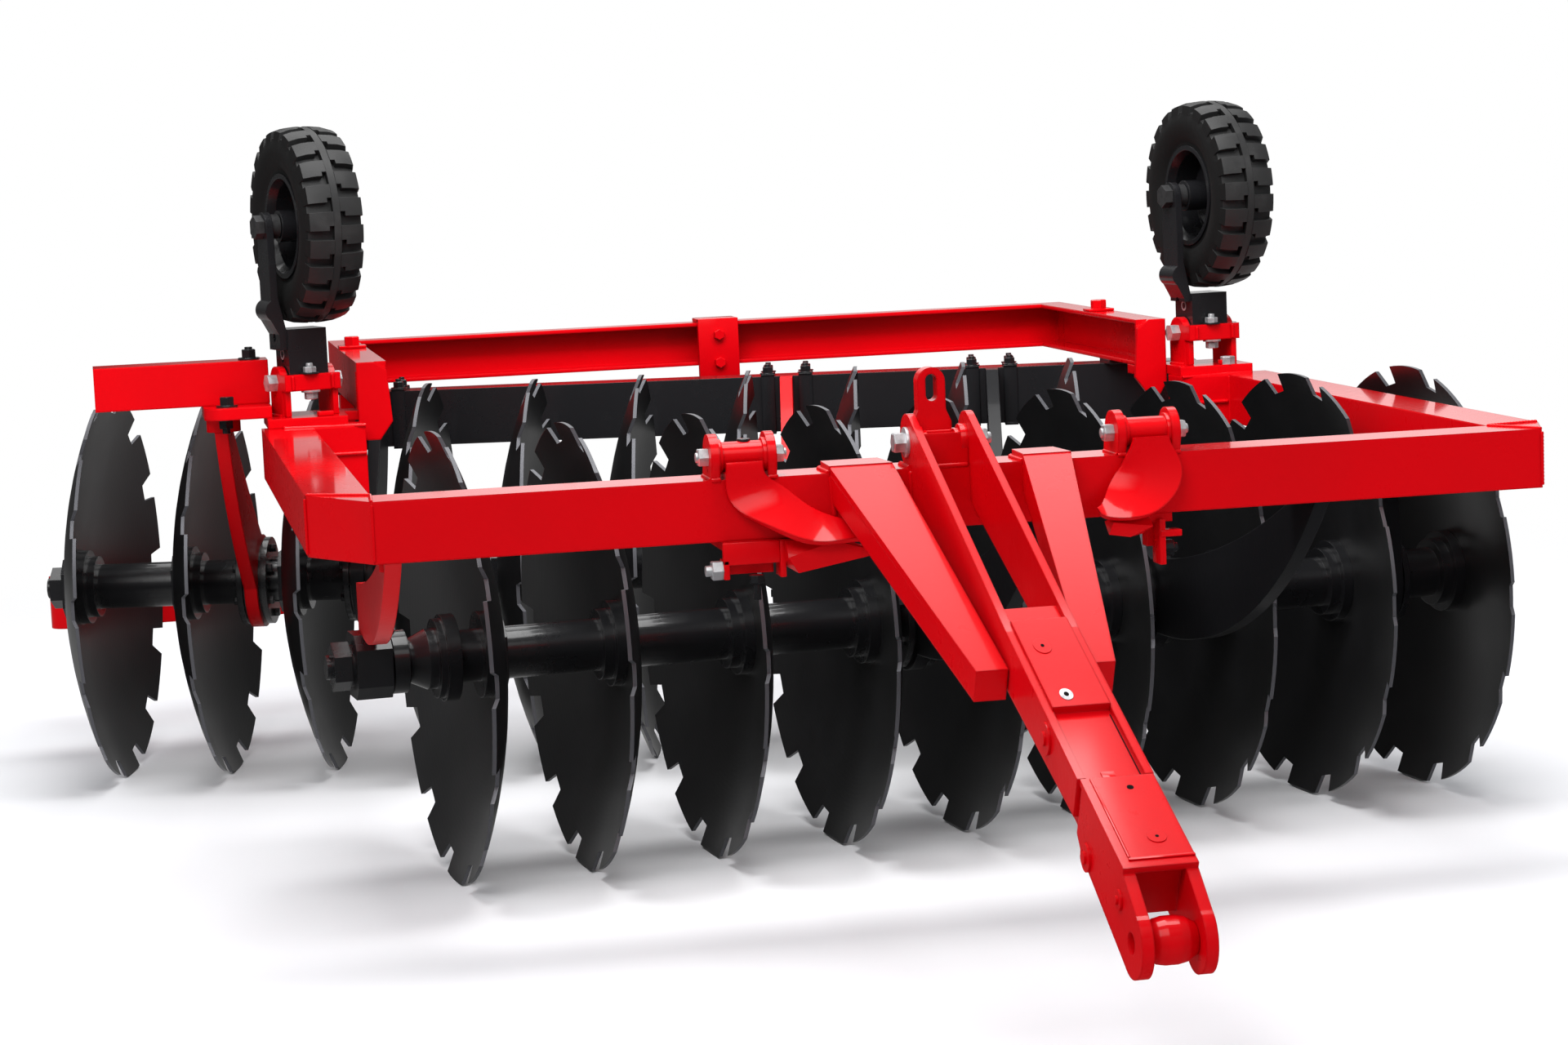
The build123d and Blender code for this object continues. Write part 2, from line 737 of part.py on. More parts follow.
# Wheels: a pressed rim with a dished centre and a hub sleeve, and the tyre round it
def make_rim(side, turn):
    face, profile, line = wheel_planes(side, turn)
    half = rim_width / 2
    with BuildPart() as rim:
        with BuildSketch(profile):
            Polygon((-half, rim_radius + 8), (-half, rim_radius), (-half + 14, rim_radius - 6),
                    (half - 14, rim_radius - 6), (half, rim_radius), (half, rim_radius + 8),
                    (half - 4, rim_radius + 8), (half - 4, rim_radius + 2), (half - 16, rim_radius - 2),
                    (-half + 16, rim_radius - 2), (-half + 4, rim_radius + 2), (-half + 4, rim_radius + 8),
                    align=None)
        revolve(axis=line)
        with BuildSketch(profile):
            Polygon((12, rim_radius - 5), (18, rim_radius - 5), (6, 50), (6, hub_radius - 1), (0, hub_radius - 1),
                    (0, 52), align=None)
        revolve(axis=line)
        with BuildSketch(face.offset(-hub_length / 2)):
            Circle(hub_radius)
            Circle(stub_radius + running_gap, mode=Mode.SUBTRACT)
        extrude(amount=hub_length)
    return rim.part


def make_tyre(side, turn):
    face, profile, line = wheel_planes(side, turn)
    half = tyre_width / 2
    bead = rim_width / 2 - 4
    crown = tyre_radius
    with BuildPart() as tyre:
        with BuildSketch(profile):
            Polygon((-bead, rim_radius + 2), (-bead, rim_radius + 12), (-half + 6, rim_radius + 24),
                    (-half, rim_radius + 42), (-half + 4, crown - 16), (-half + 10, crown - 7), (-half + 30, crown),
                    (half - 30, crown), (half - 10, crown - 7), (half - 4, crown - 16), (half, rim_radius + 42),
                    (half - 6, rim_radius + 24), (bead, rim_radius + 12), (bead, rim_radius + 2),
                    (bead - 12, rim_radius - 2), (-bead + 12, rim_radius - 2), align=None)
        revolve(axis=line)
    return tyre.part


with BuildPart() as rim_left:
    add(make_rim(-1, left_turn))
rim_left.part.label = "rim_left"
rim_left.part.position = park
export_step(rim_left.part, "parts/rim_left.step")

with BuildPart() as rim_right:
    add(make_rim(1, right_turn))
rim_right.part.label = "rim_right"
rim_right.part.position = park
export_step(rim_right.part, "parts/rim_right.step")

with BuildPart() as tyre_left:
    add(make_tyre(-1, left_turn))
tyre_left.part.label = "tyre_left"
tyre_left.part.position = park
export_step(tyre_left.part, "parts/tyre_left.step")

with BuildPart() as tyre_right:
    add(make_tyre(1, right_turn))
tyre_right.part.label = "tyre_right"
tyre_right.part.position = park
export_step(tyre_right.part, "parts/tyre_right.step")

# Rear subframe: two channel rails on the base plates, and a channel bar across their rear ends
rail_height = rail_top - rail_bottom


def make_rail(near, far, open_side):
    first = base_plate_back - base_plate_lap
    outer = far if open_side == near else near
    with BuildPart() as rail:
        with BuildSketch(Plane.XY.offset(rail_bottom)):
            Polygon((near, first), (far, first), (far, rear_bar_front), (near, rear_bar_front), align=None)
        extrude(amount=rail_height)
        cut_near = min(near, far) + (channel_wall if outer == min(near, far) else -1)
        cut_far = max(near, far) - (channel_wall if outer == max(near, far) else -1)
        with BuildSketch(Plane.XY.offset(rail_bottom + channel_wall)):
            Polygon((cut_near, first + channel_wall), (cut_far, first + channel_wall),
                    (cut_far, rear_bar_front), (cut_near, rear_bar_front), align=None)
        extrude(amount=rail_height - 2 * channel_wall, mode=Mode.SUBTRACT)
        with BuildSketch(Plane(origin=(outer, first, 0), x_dir=(1, 0, 0), z_dir=(0, -1, 0))):
            inward = 1 if outer < 0 else -1
            Polygon((0, rail_top), (inward * 30, rail_top), (inward * rail_width, rail_top - 14),
                    (inward * (rail_width + 6), rail_bottom - 20), (inward * 34, rail_bottom - 50),
                    (inward * 12, rail_bottom - 50), (0, rail_bottom - 30), align=None)
        extrude(amount=10)
    return rail.part


with BuildPart() as rear_rail_left:
    add(make_rail(-rail_inner - rail_width, -rail_inner, -rail_inner))
rear_rail_left.part.label = "rear_rail_left"
rear_rail_left.part.position = park
export_step(rear_rail_left.part, "parts/rear_rail_left.step")

with BuildPart() as rear_rail_right:
    add(make_rail(rail_inner, rail_inner + rail_width, rail_inner))
rear_rail_right.part.label = "rear_rail_right"
rear_rail_right.part.position = park
export_step(rear_rail_right.part, "parts/rear_rail_right.step")

rear_bar_first = -rail_inner - rail_width
rear_bar_last = rail_inner + rail_width
with BuildPart() as rear_bar:
    with BuildSketch(Plane(origin=(rear_bar_first, 0, 0), x_dir=(0, 1, 0), z_dir=(1, 0, 0))):
        with BuildLine():
            back = rear_bar_front + rail_width
            Polyline((rear_bar_front, rail_top), (back, rail_top), (back, rail_bottom), (rear_bar_front, rail_bottom),
                     (rear_bar_front, rail_bottom + channel_wall), (back - channel_wall, rail_bottom + channel_wall),
                     (back - channel_wall, rail_top - channel_wall), (rear_bar_front, rail_top - channel_wall),
                     (rear_bar_front, rail_top))
        make_face()
    extrude(amount=rear_bar_last - rear_bar_first)
    for where in (rear_bar_first, rear_bar_last - channel_wall):
        with BuildSketch(Plane(origin=(where, 0, 0), x_dir=(0, 1, 0), z_dir=(1, 0, 0))):
            Polygon((rear_bar_front, rail_bottom), (back, rail_bottom), (back, rail_top), (rear_bar_front, rail_top),
                    align=None)
        extrude(amount=channel_wall)
rear_bar.part.label = "rear_bar"
rear_bar.part.position = park
export_step(rear_bar.part, "parts/rear_bar.step")

# Clamp pads that hang the gang beam under the rails
with BuildPart() as beam_pads:
    for middle in (-rail_inner - rail_width / 2, rail_inner + rail_width / 2):
        along = (middle - rear_gang.hub.X) / cos(radians(rear_angle))
        centre = rear_gang.hub + rear_gang.axis * along - rear_gang.ahead * beam_middle
        with BuildSketch(Plane.XY.offset(rail_bottom - gang_beam_drop)):
            with Locations((middle, centre.Y + (centre.X - middle) * tan(radians(rear_angle)))):
                Rectangle(rail_width, 60)
        extrude(amount=gang_beam_drop)
beam_pads.part.label = "beam_pads"
beam_pads.part.position = park
export_step(beam_pads.part, "parts/beam_pads.step")

# Outrigger: a square tube to the left, on a plate that is bolted under it
outrigger_bottom = rail_bottom + pivot_plate_thickness
with BuildPart() as outrigger_tube:
    with BuildSketch(Plane(origin=(outrigger_left, 0, 0), x_dir=(0, 1, 0), z_dir=(1, 0, 0))):
        with Locations((outrigger_front + outrigger_size / 2, outrigger_bottom + outrigger_size / 2)):
            Rectangle(outrigger_size, outrigger_size)
    extrude(amount=outrigger_right - outrigger_left)
outrigger_tube.part.label = "outrigger_tube"
outrigger_tube.part.position = park
export_step(outrigger_tube.part, "parts/outrigger_tube.step")

plate_right = -bracket_left - base_plate_width / 2
plate_left = plate_right - 100
plate_front = base_plate_front + 30
plate_back = outrigger_front + outrigger_size
with BuildPart() as pivot_plate:
    with BuildSketch(Plane.XY.offset(rail_bottom)):
        with BuildLine():
            Polyline((plate_left + 30, plate_front), (plate_right + 9, plate_front), (plate_right + 9, plate_back),
                     (plate_left, plate_back), (plate_left, plate_front + 30))
            ThreePointArc((plate_left, plate_front + 30), (plate_left + 9, plate_front + 9),
                          (plate_left + 30, plate_front))
        make_face()
    extrude(amount=pivot_plate_thickness)
    arm_foot = rear_gang.hub + rear_gang.axis * outrigger_seat
    boss_y = outrigger_front + 18
    boss_x = arm_foot.X + (arm_foot.Y - boss_y) * tan(radians(rear_angle))
    with BuildSketch(Plane.XY.offset(rail_bottom - pivot_boss_height)):
        with Locations((boss_x, boss_y)):
            Circle(pivot_boss_radius)
    extrude(amount=pivot_boss_height)
pivot_plate.part.label = "pivot_plate"
pivot_plate.part.position = park
export_step(pivot_plate.part, "parts/pivot_plate.step")

boss_behind = (arm_foot.Y - boss_y) / cos(radians(rear_angle))
boss_rise = rail_bottom - pivot_boss_height - axle_height
with BuildPart() as outrigger_arm:
    with BuildSketch(rear_gang.face.offset(outrigger_seat)):
        with BuildLine():
            Polyline((boss_rise, boss_behind + 24), (boss_rise, boss_behind - 24))
            ThreePointArc((boss_rise, boss_behind - 24), (0.62 * boss_rise, 0.46 * boss_behind), (60, -20))
            Polyline((60, -20), (-50, 30))
            ThreePointArc((-50, 30), (0.45 * boss_rise, 0.80 * boss_behind), (boss_rise, boss_behind + 24))
        make_face()
        Circle(housing_radius + hanger_rim)
        Circle(housing_radius, mode=Mode.SUBTRACT)
    extrude(amount=hanger_thickness / 2, both=True)
outrigger_arm.part.label = "outrigger_arm"
outrigger_arm.part.position = park
export_step(outrigger_arm.part, "parts/outrigger_arm.step")

# Drawbar: everything lies in planes along its own sloping line
drawbar_axis = Vector(0, -cos(radians(drawbar_slope)), -sin(radians(drawbar_slope)))
drawbar_plane = Plane(origin=(drawbar_centre, 0, drawbar_line), x_dir=drawbar_axis, z_dir=(1, 0, 0))


def along(y):
    return -y / cos(radians(drawbar_slope))


# In drawbar_plane the first coordinate runs down the bar, the second across it; depth is measured downwards
depth_sign = 1 if (drawbar_plane.y_dir.Z < 0) else -1


def down(first, depth):
    return (first, depth_sign * depth)


box_half = drawbar_width / 2
start = along(-box_start)
sleeve_first = along(-sleeve_start)
sleeve_last = along(-sleeve_end)
cheek_end = sleeve_first - 12
cap_end = sleeve_first - 152
with BuildPart() as drawbar_box:
    with BuildSketch(drawbar_plane.offset(-box_half)):
        Polygon(down(start, 0), down(sleeve_first, 0), down(sleeve_first, drawbar_depth),
                down(start - 30, drawbar_depth), align=None)
        Polygon(down(start + 42, -10), down(cap_end, -10), down(cap_end, 1), down(start + 42, 1), align=None)
    extrude(amount=drawbar_width)
drawbar_box.part.label = "drawbar_box"
drawbar_box.part.position = park
export_step(drawbar_box.part, "parts/drawbar_box.step")

# Hitch: a sleeve plate over the box's end and two rounded ears with the pin bore
hole_along = -clevis_hole[0] * cos(radians(drawbar_slope)) + (drawbar_line - clevis_hole[1]) * sin(radians(drawbar_slope))
hole_down = (drawbar_line - clevis_hole[1]) * cos(radians(drawbar_slope)) + clevis_hole[0] * sin(radians(drawbar_slope))
ear_outer = box_half + sleeve_wall
with BuildPart() as hitch_clevis:
    with BuildSketch(drawbar_plane.offset(-ear_outer)):
        Polygon(down(sleeve_first - 8, -sleeve_wall), down(sleeve_last - 26, -sleeve_wall),
                down(sleeve_last - 26, 0), down(sleeve_first - 8, 0), align=None)
    extrude(amount=2 * ear_outer)
    with BuildSketch(drawbar_plane.offset(-box_half)):
        Polygon(down(sleeve_first, 0), down(sleeve_last - 40, 0), down(sleeve_last - 40, drawbar_depth),
                down(sleeve_first, drawbar_depth), align=None)
    extrude(amount=drawbar_width)
    for where in (-ear_outer, ear_outer - clevis_ear_thickness):
        with BuildSketch(drawbar_plane.offset(where)):
            Polygon(down(sleeve_first, -1), down(sleeve_last - 26, -1),
                    down(hole_along + 14, hole_down - clevis_ear_radius + 3),
                    down(hole_along, hole_down + clevis_ear_radius),
                    down(sleeve_first + 24, drawbar_depth + 8), down(sleeve_first, drawbar_depth - 6), align=None)
            with Locations(down(hole_along, hole_down)):
                Circle(clevis_ear_radius)
        extrude(amount=clevis_ear_thickness)
    with BuildSketch(drawbar_plane.offset(-ear_outer)):
        with Locations(down(hole_along, hole_down)):
            Circle(clevis_pin_radius)
    extrude(amount=2 * ear_outer, mode=Mode.SUBTRACT)
hitch_clevis.part.label = "hitch_clevis"
hitch_clevis.part.position = park
export_step(hitch_clevis.part, "parts/hitch_clevis.step")

# Barrel bush between the ears
bush_half = ear_outer - clevis_ear_thickness - running_gap
bush_profile = Plane(origin=drawbar_plane.from_local_coords((*down(hole_along, hole_down), 0)),
                     x_dir=(1, 0, 0), z_dir=(0, -1, 0))
with BuildPart() as hitch_bush:
    with BuildSketch(bush_profile):
        Polygon((-bush_half, clevis_pin_radius), (-bush_half, bush_radius - 9), (-bush_half * 0.6, bush_radius - 2),
                (-bush_half * 0.25, bush_radius), (bush_half * 0.25, bush_radius), (bush_half * 0.6, bush_radius - 2),
                (bush_half, bush_radius - 9), (bush_half, clevis_pin_radius), align=None)
    revolve(axis=Axis(bush_profile.origin, (1, 0, 0)))
hitch_bush.part.label = "hitch_bush"
hitch_bush.part.position = park
export_step(hitch_bush.part, "parts/hitch_bush.step")

# Cheeks: two plates from rounded heads above the front bar down to the box's sides
head_rise = 652.0
head_along = (drawbar_line - head_rise) * sin(radians(drawbar_slope)) - cheek_head_back * cos(radians(drawbar_slope))
head_down = (drawbar_line - head_rise) * cos(radians(drawbar_slope)) + cheek_head_back * sin(radians(drawbar_slope))
with BuildPart() as drawbar_cheeks:
    for where in (-box_half - cheek_thickness, box_half):
        with BuildSketch(drawbar_plane.offset(where)):
            Polygon(down(head_along, head_down - cheek_head_radius), down(start + 60, -6), down(cheek_end, -6),
                    down(cheek_end, drawbar_depth - 20), down(start + 90, drawbar_depth - 4),
                    down(start + 40, drawbar_depth),
                    down(head_along + 60, head_down + cheek_head_radius + 30),
                    down(head_along, head_down + cheek_head_radius), align=None)
            with Locations(down(head_along, head_down)):
                Circle(cheek_head_radius)
        extrude(amount=cheek_thickness)
    with BuildSketch(Plane.XY.offset(frame_bottom)):
        with Locations((0, tube / 2)):
            Rectangle(2 * frame_half_width, tube)
    extrude(amount=tube, mode=Mode.SUBTRACT)
drawbar_cheeks.part.label = "drawbar_cheeks"
drawbar_cheeks.part.position = park
export_step(drawbar_cheeks.part, "parts/drawbar_cheeks.step")

# Lifting eye on its base block, between the cheeks' heads
with BuildPart() as lifting_eye:
    with BuildSketch(Plane.XY.offset(frame_top)):
        with Locations((drawbar_centre, 36)):
            Rectangle(drawbar_width, 68)
    extrude(amount=44)
    with BuildSketch(Plane(origin=(drawbar_centre - 8, 44, frame_top + 44), x_dir=(1, 0, 0), z_dir=(0, -1, 0))):
        Polygon((-26, 0), (26, 0), (26, 14), (19, 30), (19, 68), (-19, 68), (-19, 30), (-26, 14), align=None)
        with Locations((0, 68)):
            Circle(19)
        with Locations((0, 60)):
            SlotOverall(36, 16, rotation=90, mode=Mode.SUBTRACT)
    extrude(amount=22)
lifting_eye.part.label = "lifting_eye"
lifting_eye.part.position = park
export_step(lifting_eye.part, "parts/lifting_eye.step")

# Braces: tapered plates folded over the bar's top edge and run down to the box's sides

def make_brace(bar_near, bar_far, end_near, end_far):
    end_y = -470
    fall = tan(radians(drawbar_slope)) * (-end_y)
    slope = sqrt(end_y**2 + fall**2)
    plane = Plane(origin=(0, 0, frame_top + brace_thickness), x_dir=(1, 0, 0),
                  z_dir=(0, -sin(radians(drawbar_slope)), cos(radians(drawbar_slope))))
    with BuildPart() as brace:
        with BuildSketch(plane.offset(-brace_thickness)):
            Polygon((bar_near, 0), (bar_far, 0), (end_far, -slope), (end_near, -slope), align=None)
        extrude(amount=brace_thickness)
        with BuildSketch(Plane.XY.offset(frame_top)):
            Polygon((bar_near, -4), (bar_far, -4), (bar_far - 4, tube - 12), (bar_near + 4, tube - 12), align=None)
        extrude(amount=brace_thickness)
        with BuildSketch(plane.offset(-brace_thickness)):
            Polygon((bar_near, -8), (bar_near + 9, -8), (end_near + 9, -slope), (end_near, -slope), align=None)
            Polygon((bar_far - 9, -8), (bar_far, -8), (end_far, -slope), (end_far - 9, -slope), align=None)
            Polygon((end_near, 10 - slope), (end_far, 10 - slope), (end_far, -slope), (end_near, -slope), align=None)
        extrude(amount=-34)
        with BuildSketch(Plane.XY.offset(frame_bottom - 60)):
            with Locations((0, tube / 2)):
                Rectangle(2 * frame_half_width, tube)
        extrude(amount=tube + 60, mode=Mode.SUBTRACT)
    return brace.part


with BuildPart() as drawbar_braces:
    add(make_brace(-182, -96, -112, -72))
    add(make_brace(84, 150, 22, 62))
drawbar_braces.part.label = "drawbar_braces"
drawbar_braces.part.position = park
export_step(drawbar_braces.part, "parts/drawbar_braces.step")

# Deflectors: two leaf plates hung on cross tubes between ears on the front bar
deflector_tube_radius = 19.0
deflector_rise = 27.0
deflector_axis_height = frame_top + deflector_rise


def make_deflector_mount(first, last):
    with BuildPart() as mount:
        for where in (first, last):
            with BuildSketch(Plane(origin=(where - 6, 0, 0), x_dir=(0, 1, 0), z_dir=(1, 0, 0))):
                Polygon((0, frame_top), (66, frame_top), (58, deflector_axis_height), (-6, deflector_axis_height),
                        align=None)
                with Locations((26, deflector_axis_height)):
                    Circle(32)
                with Locations((tube / 2, frame_top - 60)):
                    Rectangle(tube, 120, mode=Mode.SUBTRACT)
            extrude(amount=12)
        with BuildSketch(Plane(origin=(first + 6, 0, 0), x_dir=(0, 1, 0), z_dir=(1, 0, 0))):
            with Locations((20, deflector_axis_height + 2)):
                Circle(deflector_tube_radius)
        extrude(amount=last - first - 12)
    return mount.part


with BuildPart() as deflector_mounts:
    add(make_deflector_mount(-334, -258))
    add(make_deflector_mount(222, 298))
deflector_mounts.part.label = "deflector_mounts"
deflector_mounts.part.position = park
export_step(deflector_mounts.part, "parts/deflector_mounts.step")


# Each station: place across, ahead and below the tube's line, plate width, heading from straight down, and tilt
deflector_thickness = 9.0
deflector_left = (
    (0, 8, 4, 50, 0, 0), (1, 8, 25, 54, 8, 0), (9, 9, 44, 64, 24, 4), (34, 19, 64, 62, 40, 22),
    (63, 27, 83, 58, 54, 38), (106, 32, 99, 46, 66, 46), (147, 36, 103, 28, 76, 50), (182, 39, 105, 6, 82, 52),
)
deflector_right = (
    (0, 8, 4, 50, 0, 0), (-2, 8, 24, 66, 8, 0), (-1, 10, 45, 82, 20, 4), (9, 14, 62, 82, 34, 12),
    (30, 22, 79, 74, 48, 26), (57, 30, 93, 48, 58, 40), (84, 34, 97, 8, 66, 46),
)


def make_deflector(middle, side, stations):
    with BuildPart() as plate:
        for across, ahead, below, width, heading, tilt in stations:
            spot = Vector(middle + side * across, -ahead, deflector_axis_height - below)
            run = Vector(side * sin(radians(heading)), 0, -cos(radians(heading)))
            level = Vector(side * cos(radians(heading)), 0, sin(radians(heading)))
            wide = level * cos(radians(tilt)) + Vector(0, sin(radians(tilt)), 0)
            with BuildSketch(Plane(origin=spot, x_dir=wide, z_dir=run)):
                Rectangle(width, deflector_thickness)
        loft()
        with BuildSketch(Plane.XY.offset(frame_top)):
            with Locations((middle, 12)):
                Rectangle(stations[0][3], 44)
        extrude(amount=10)
    return plate.part


with BuildPart() as deflectors:
    add(make_deflector(-297, 1, deflector_left))
    add(make_deflector(261, -1, deflector_right))
deflectors.part.label = "deflectors"
deflectors.part.position = park
export_step(deflectors.part, "parts/deflectors.step")

# Under-bar clamps below the deflectors
with BuildPart() as bar_clamps:
    for middle, width in ((-290, 78), (270, 40)):
        with BuildSketch(Plane.XY.offset(frame_bottom - 12)):
            with Locations((middle, tube / 2 + 8)):
                Rectangle(width, tube + 16)
        extrude(amount=12)
        with BuildSketch(Plane.XY.offset(frame_bottom - 46)):
            with Locations((middle, tube / 2 - 16)):
                Rectangle(width - 16, 20)
        extrude(amount=34)
bar_clamps.part.label = "bar_clamps"
bar_clamps.part.position = park
export_step(bar_clamps.part, "parts/bar_clamps.step")

# Rear strap: a flat bar looped at its left end, run behind the outboard blades to a drop bar on the gang beam
with BuildPart() as rear_strap:
    with BuildSketch(Plane.XY.offset(strap_base)):
        with BuildLine():
            Polyline((strap_right, strap_y), (strap_left + 30, strap_y))
            ThreePointArc((strap_left + 30, strap_y), (strap_left, strap_y + strap_loop / 2), (strap_left + 30, strap_y + strap_loop))
            Polyline((strap_left + 30, strap_y + strap_loop), (strap_right, strap_y + strap_loop), (strap_right, strap_y + strap_loop - band_strap_thickness),
                     (strap_left + 30, strap_y + strap_loop - band_strap_thickness))
            ThreePointArc((strap_left + 30, strap_y + strap_loop - band_strap_thickness),
                          (strap_left + band_strap_thickness, strap_y + strap_loop / 2),
                          (strap_left + 30, strap_y + band_strap_thickness))
            Polyline((strap_left + 30, strap_y + band_strap_thickness), (strap_right, strap_y + band_strap_thickness),
                     (strap_right, strap_y))
        make_face()
    extrude(amount=band_strap_height)
    with BuildSketch(Plane.XY.offset(strap_base)):
        with Locations((strap_right - strap_post_width / 2, strap_y + strap_loop / 2)):
            Rectangle(strap_post_width, strap_loop - 2 * band_strap_thickness)
    extrude(amount=rail_top - strap_base - 10)
    with BuildSketch(Plane.XY.offset(rail_bottom + 10)):
        Polygon((strap_post_left, rear_bar_front + rail_width), (strap_right, rear_bar_front + rail_width), (strap_right, strap_y + 8),
                (strap_post_left, strap_y + 8), align=None)
    extrude(amount=40)
rear_strap.part.label = "rear_strap"
rear_strap.part.position = park
export_step(rear_strap.part, "parts/rear_strap.step")
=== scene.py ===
"""Dressing and stage for a trailed offset disc harrow, laid out as an add-on and run as a script."""

import json
import math

import bmesh
import bpy
from bpy.props import FloatProperty, FloatVectorProperty, IntProperty, PointerProperty
from mathutils import Matrix, Vector


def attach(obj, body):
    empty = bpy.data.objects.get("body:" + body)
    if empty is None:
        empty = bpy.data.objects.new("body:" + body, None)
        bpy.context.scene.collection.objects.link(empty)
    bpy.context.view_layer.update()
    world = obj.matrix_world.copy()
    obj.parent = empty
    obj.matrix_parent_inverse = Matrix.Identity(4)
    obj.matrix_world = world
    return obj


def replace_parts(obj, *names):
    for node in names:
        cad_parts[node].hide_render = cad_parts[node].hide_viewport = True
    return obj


bl_info = {
    "name": "Disc Harrow Dressing",
    "version": (1, 0, 0),
    "blender": (4, 5, 0),
    "location": "View3D > Sidebar > Harrow",
    "description": "Adds tyres, fittings, bolts, welds and finishes to the harrow's packed frame",
    "category": "Object",
}

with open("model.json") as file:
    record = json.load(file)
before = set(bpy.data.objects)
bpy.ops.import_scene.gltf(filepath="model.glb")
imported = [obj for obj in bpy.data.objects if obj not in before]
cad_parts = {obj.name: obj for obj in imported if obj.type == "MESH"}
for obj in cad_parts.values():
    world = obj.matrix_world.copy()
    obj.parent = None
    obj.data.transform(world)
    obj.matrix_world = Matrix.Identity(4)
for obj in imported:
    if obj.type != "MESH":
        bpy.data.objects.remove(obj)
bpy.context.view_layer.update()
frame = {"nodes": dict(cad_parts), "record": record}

# Where things lie, in millimetres from the frame's centre line, the front bar's front face and the ground
SHIFT = Vector((105.536, -535.0, 0.0))
FRAME_TOP = 619.0
FRAME_BOTTOM = 537.0
AXLE_HEIGHT = 330.0
BLADE_DEPTH = 68.507
FRONT_ANGLE = 5.63
REAR_ANGLE = -13.07
FRONT_SPACING = 194.6
REAR_SPACING = 184.2
# Each wheel bracket's place across, its turn in degrees and its wheel's height
BRACKETS = {-1: (-788.0, 15.0, 946.0), 1: (766.0, 8.0, 926.0)}
BRACKET_Y = 1280.0
POST_HALF = 33.0
BUSH_HEIGHT = 736.0
WHEEL_SHIFT = 20.0
TYRE_RADIUS = 161.0
DRAWBAR_SLOPE = 24.0
DRAWBAR_LINE = 660.0
# Behind the bar's front face and above the ground
CHEEK_BOLT = (20, 652)
EAR_TUBE = (20, 648)
BEAM_TOP = 627
CLAMP_TOP = 631
CAP_PLATE = 10
SLEEVE_PLATE = 8
# Shares of a bolt's width across its flats, and of a weld bead's radius
HEAD_HEIGHT = 0.62
WASHER_REACH = 0.82
THREAD_REACH = 0.3
WELD_SWELL = 1.24
WELD_NARROW = 0.81
WELD_END = 0.7
LEFT = (-1, 0, 0)
RIGHT = (1, 0, 0)
AHEAD = (0, -1, 0)
UP = (0, 0, 1)
DOWN = (0, 0, -1)


def spot(x, y, z):
    """A place on the machine, given in millimetres, as metres in the frame."""
    return (Vector((x, y, z)) + SHIFT) / 1000.0


def turned(x, y, z, across, up):
    """A placing whose own X runs along across and whose own Z runs along up."""
    up = Vector(up).normalized()
    across = Vector(across)
    across = (across - up * across.dot(up)).normalized()
    side = up.cross(across)
    placing = Matrix((across, side, up)).transposed().to_4x4()
    placing.translation = spot(x, y, z)
    return placing


def gang_axis(angle):
    return Vector((math.cos(math.radians(angle)), math.sin(math.radians(angle)), 0.0))


def gang_hub(start, angle, dish):
    return Vector((start[0], start[1], AXLE_HEIGHT)) - gang_axis(angle) * dish * BLADE_DEPTH


FRONT_HUB = gang_hub((-653.0, 517.6), FRONT_ANGLE, -1)
REAR_HUB = gang_hub((-1105.0, 1594.6), REAR_ANGLE, 1)
FRONT_SEATS = [(k + 0.5) * FRONT_SPACING - BLADE_DEPTH / 2 for k in (3, 5, 7)]
REAR_SEATS = [(k + 0.5) * REAR_SPACING + BLADE_DEPTH / 2 for k in (1, 2, 6, 8)]


def gang_spot(hub, angle, along, behind, z):
    """A place beside a gang: along its axle, behind it and above the ground, in millimetres."""
    axis = gang_axis(angle)
    return (hub.x + axis.x * along - axis.y * behind, hub.y + axis.y * along + axis.x * behind, z)


def bracket_spot(side, across, behind, z):
    """A place beside a wheel post, in the post's own turned directions."""
    middle, turn, height = BRACKETS[side]
    axis = gang_axis(turn)
    return (middle + axis.x * across - axis.y * behind, BRACKET_Y + axis.y * across + axis.x * behind, z)


# Node arithmetic


class Shade:
    """A node's output that can be added, multiplied and mixed."""

    def __init__(self, tree, socket):
        self.tree = tree
        self.socket = socket

    def math(self, operation, first, second=0.0):
        node = self.tree.nodes.new("ShaderNodeMath")
        node.operation = operation
        for place, value in ((0, first), (1, second)):
            if isinstance(value, Shade):
                self.tree.links.new(value.socket, node.inputs[place])
            else:
                node.inputs[place].default_value = value
        return Shade(self.tree, node.outputs[0])

    def __add__(self, other):
        return self.math("ADD", self, other)

    __radd__ = __add__

    def __sub__(self, other):
        return self.math("SUBTRACT", self, other)

    def __rsub__(self, other):
        return self.math("SUBTRACT", other, self)

    def __mul__(self, other):
        return self.math("MULTIPLY", self, other)

    __rmul__ = __mul__

    def __truediv__(self, other):
        return self.math("DIVIDE", self, other)

    def above(self, low, high):
        """0 below low, 1 above high, smooth between."""
        node = self.tree.nodes.new("ShaderNodeMapRange")
        node.interpolation_type = "SMOOTHSTEP"
        node.inputs["From Min"].default_value = low
        node.inputs["From Max"].default_value = high
        self.tree.links.new(self.socket, node.inputs["Value"])
        return Shade(self.tree, node.outputs[0])

    def size(self):
        return self.math("ABSOLUTE", self)


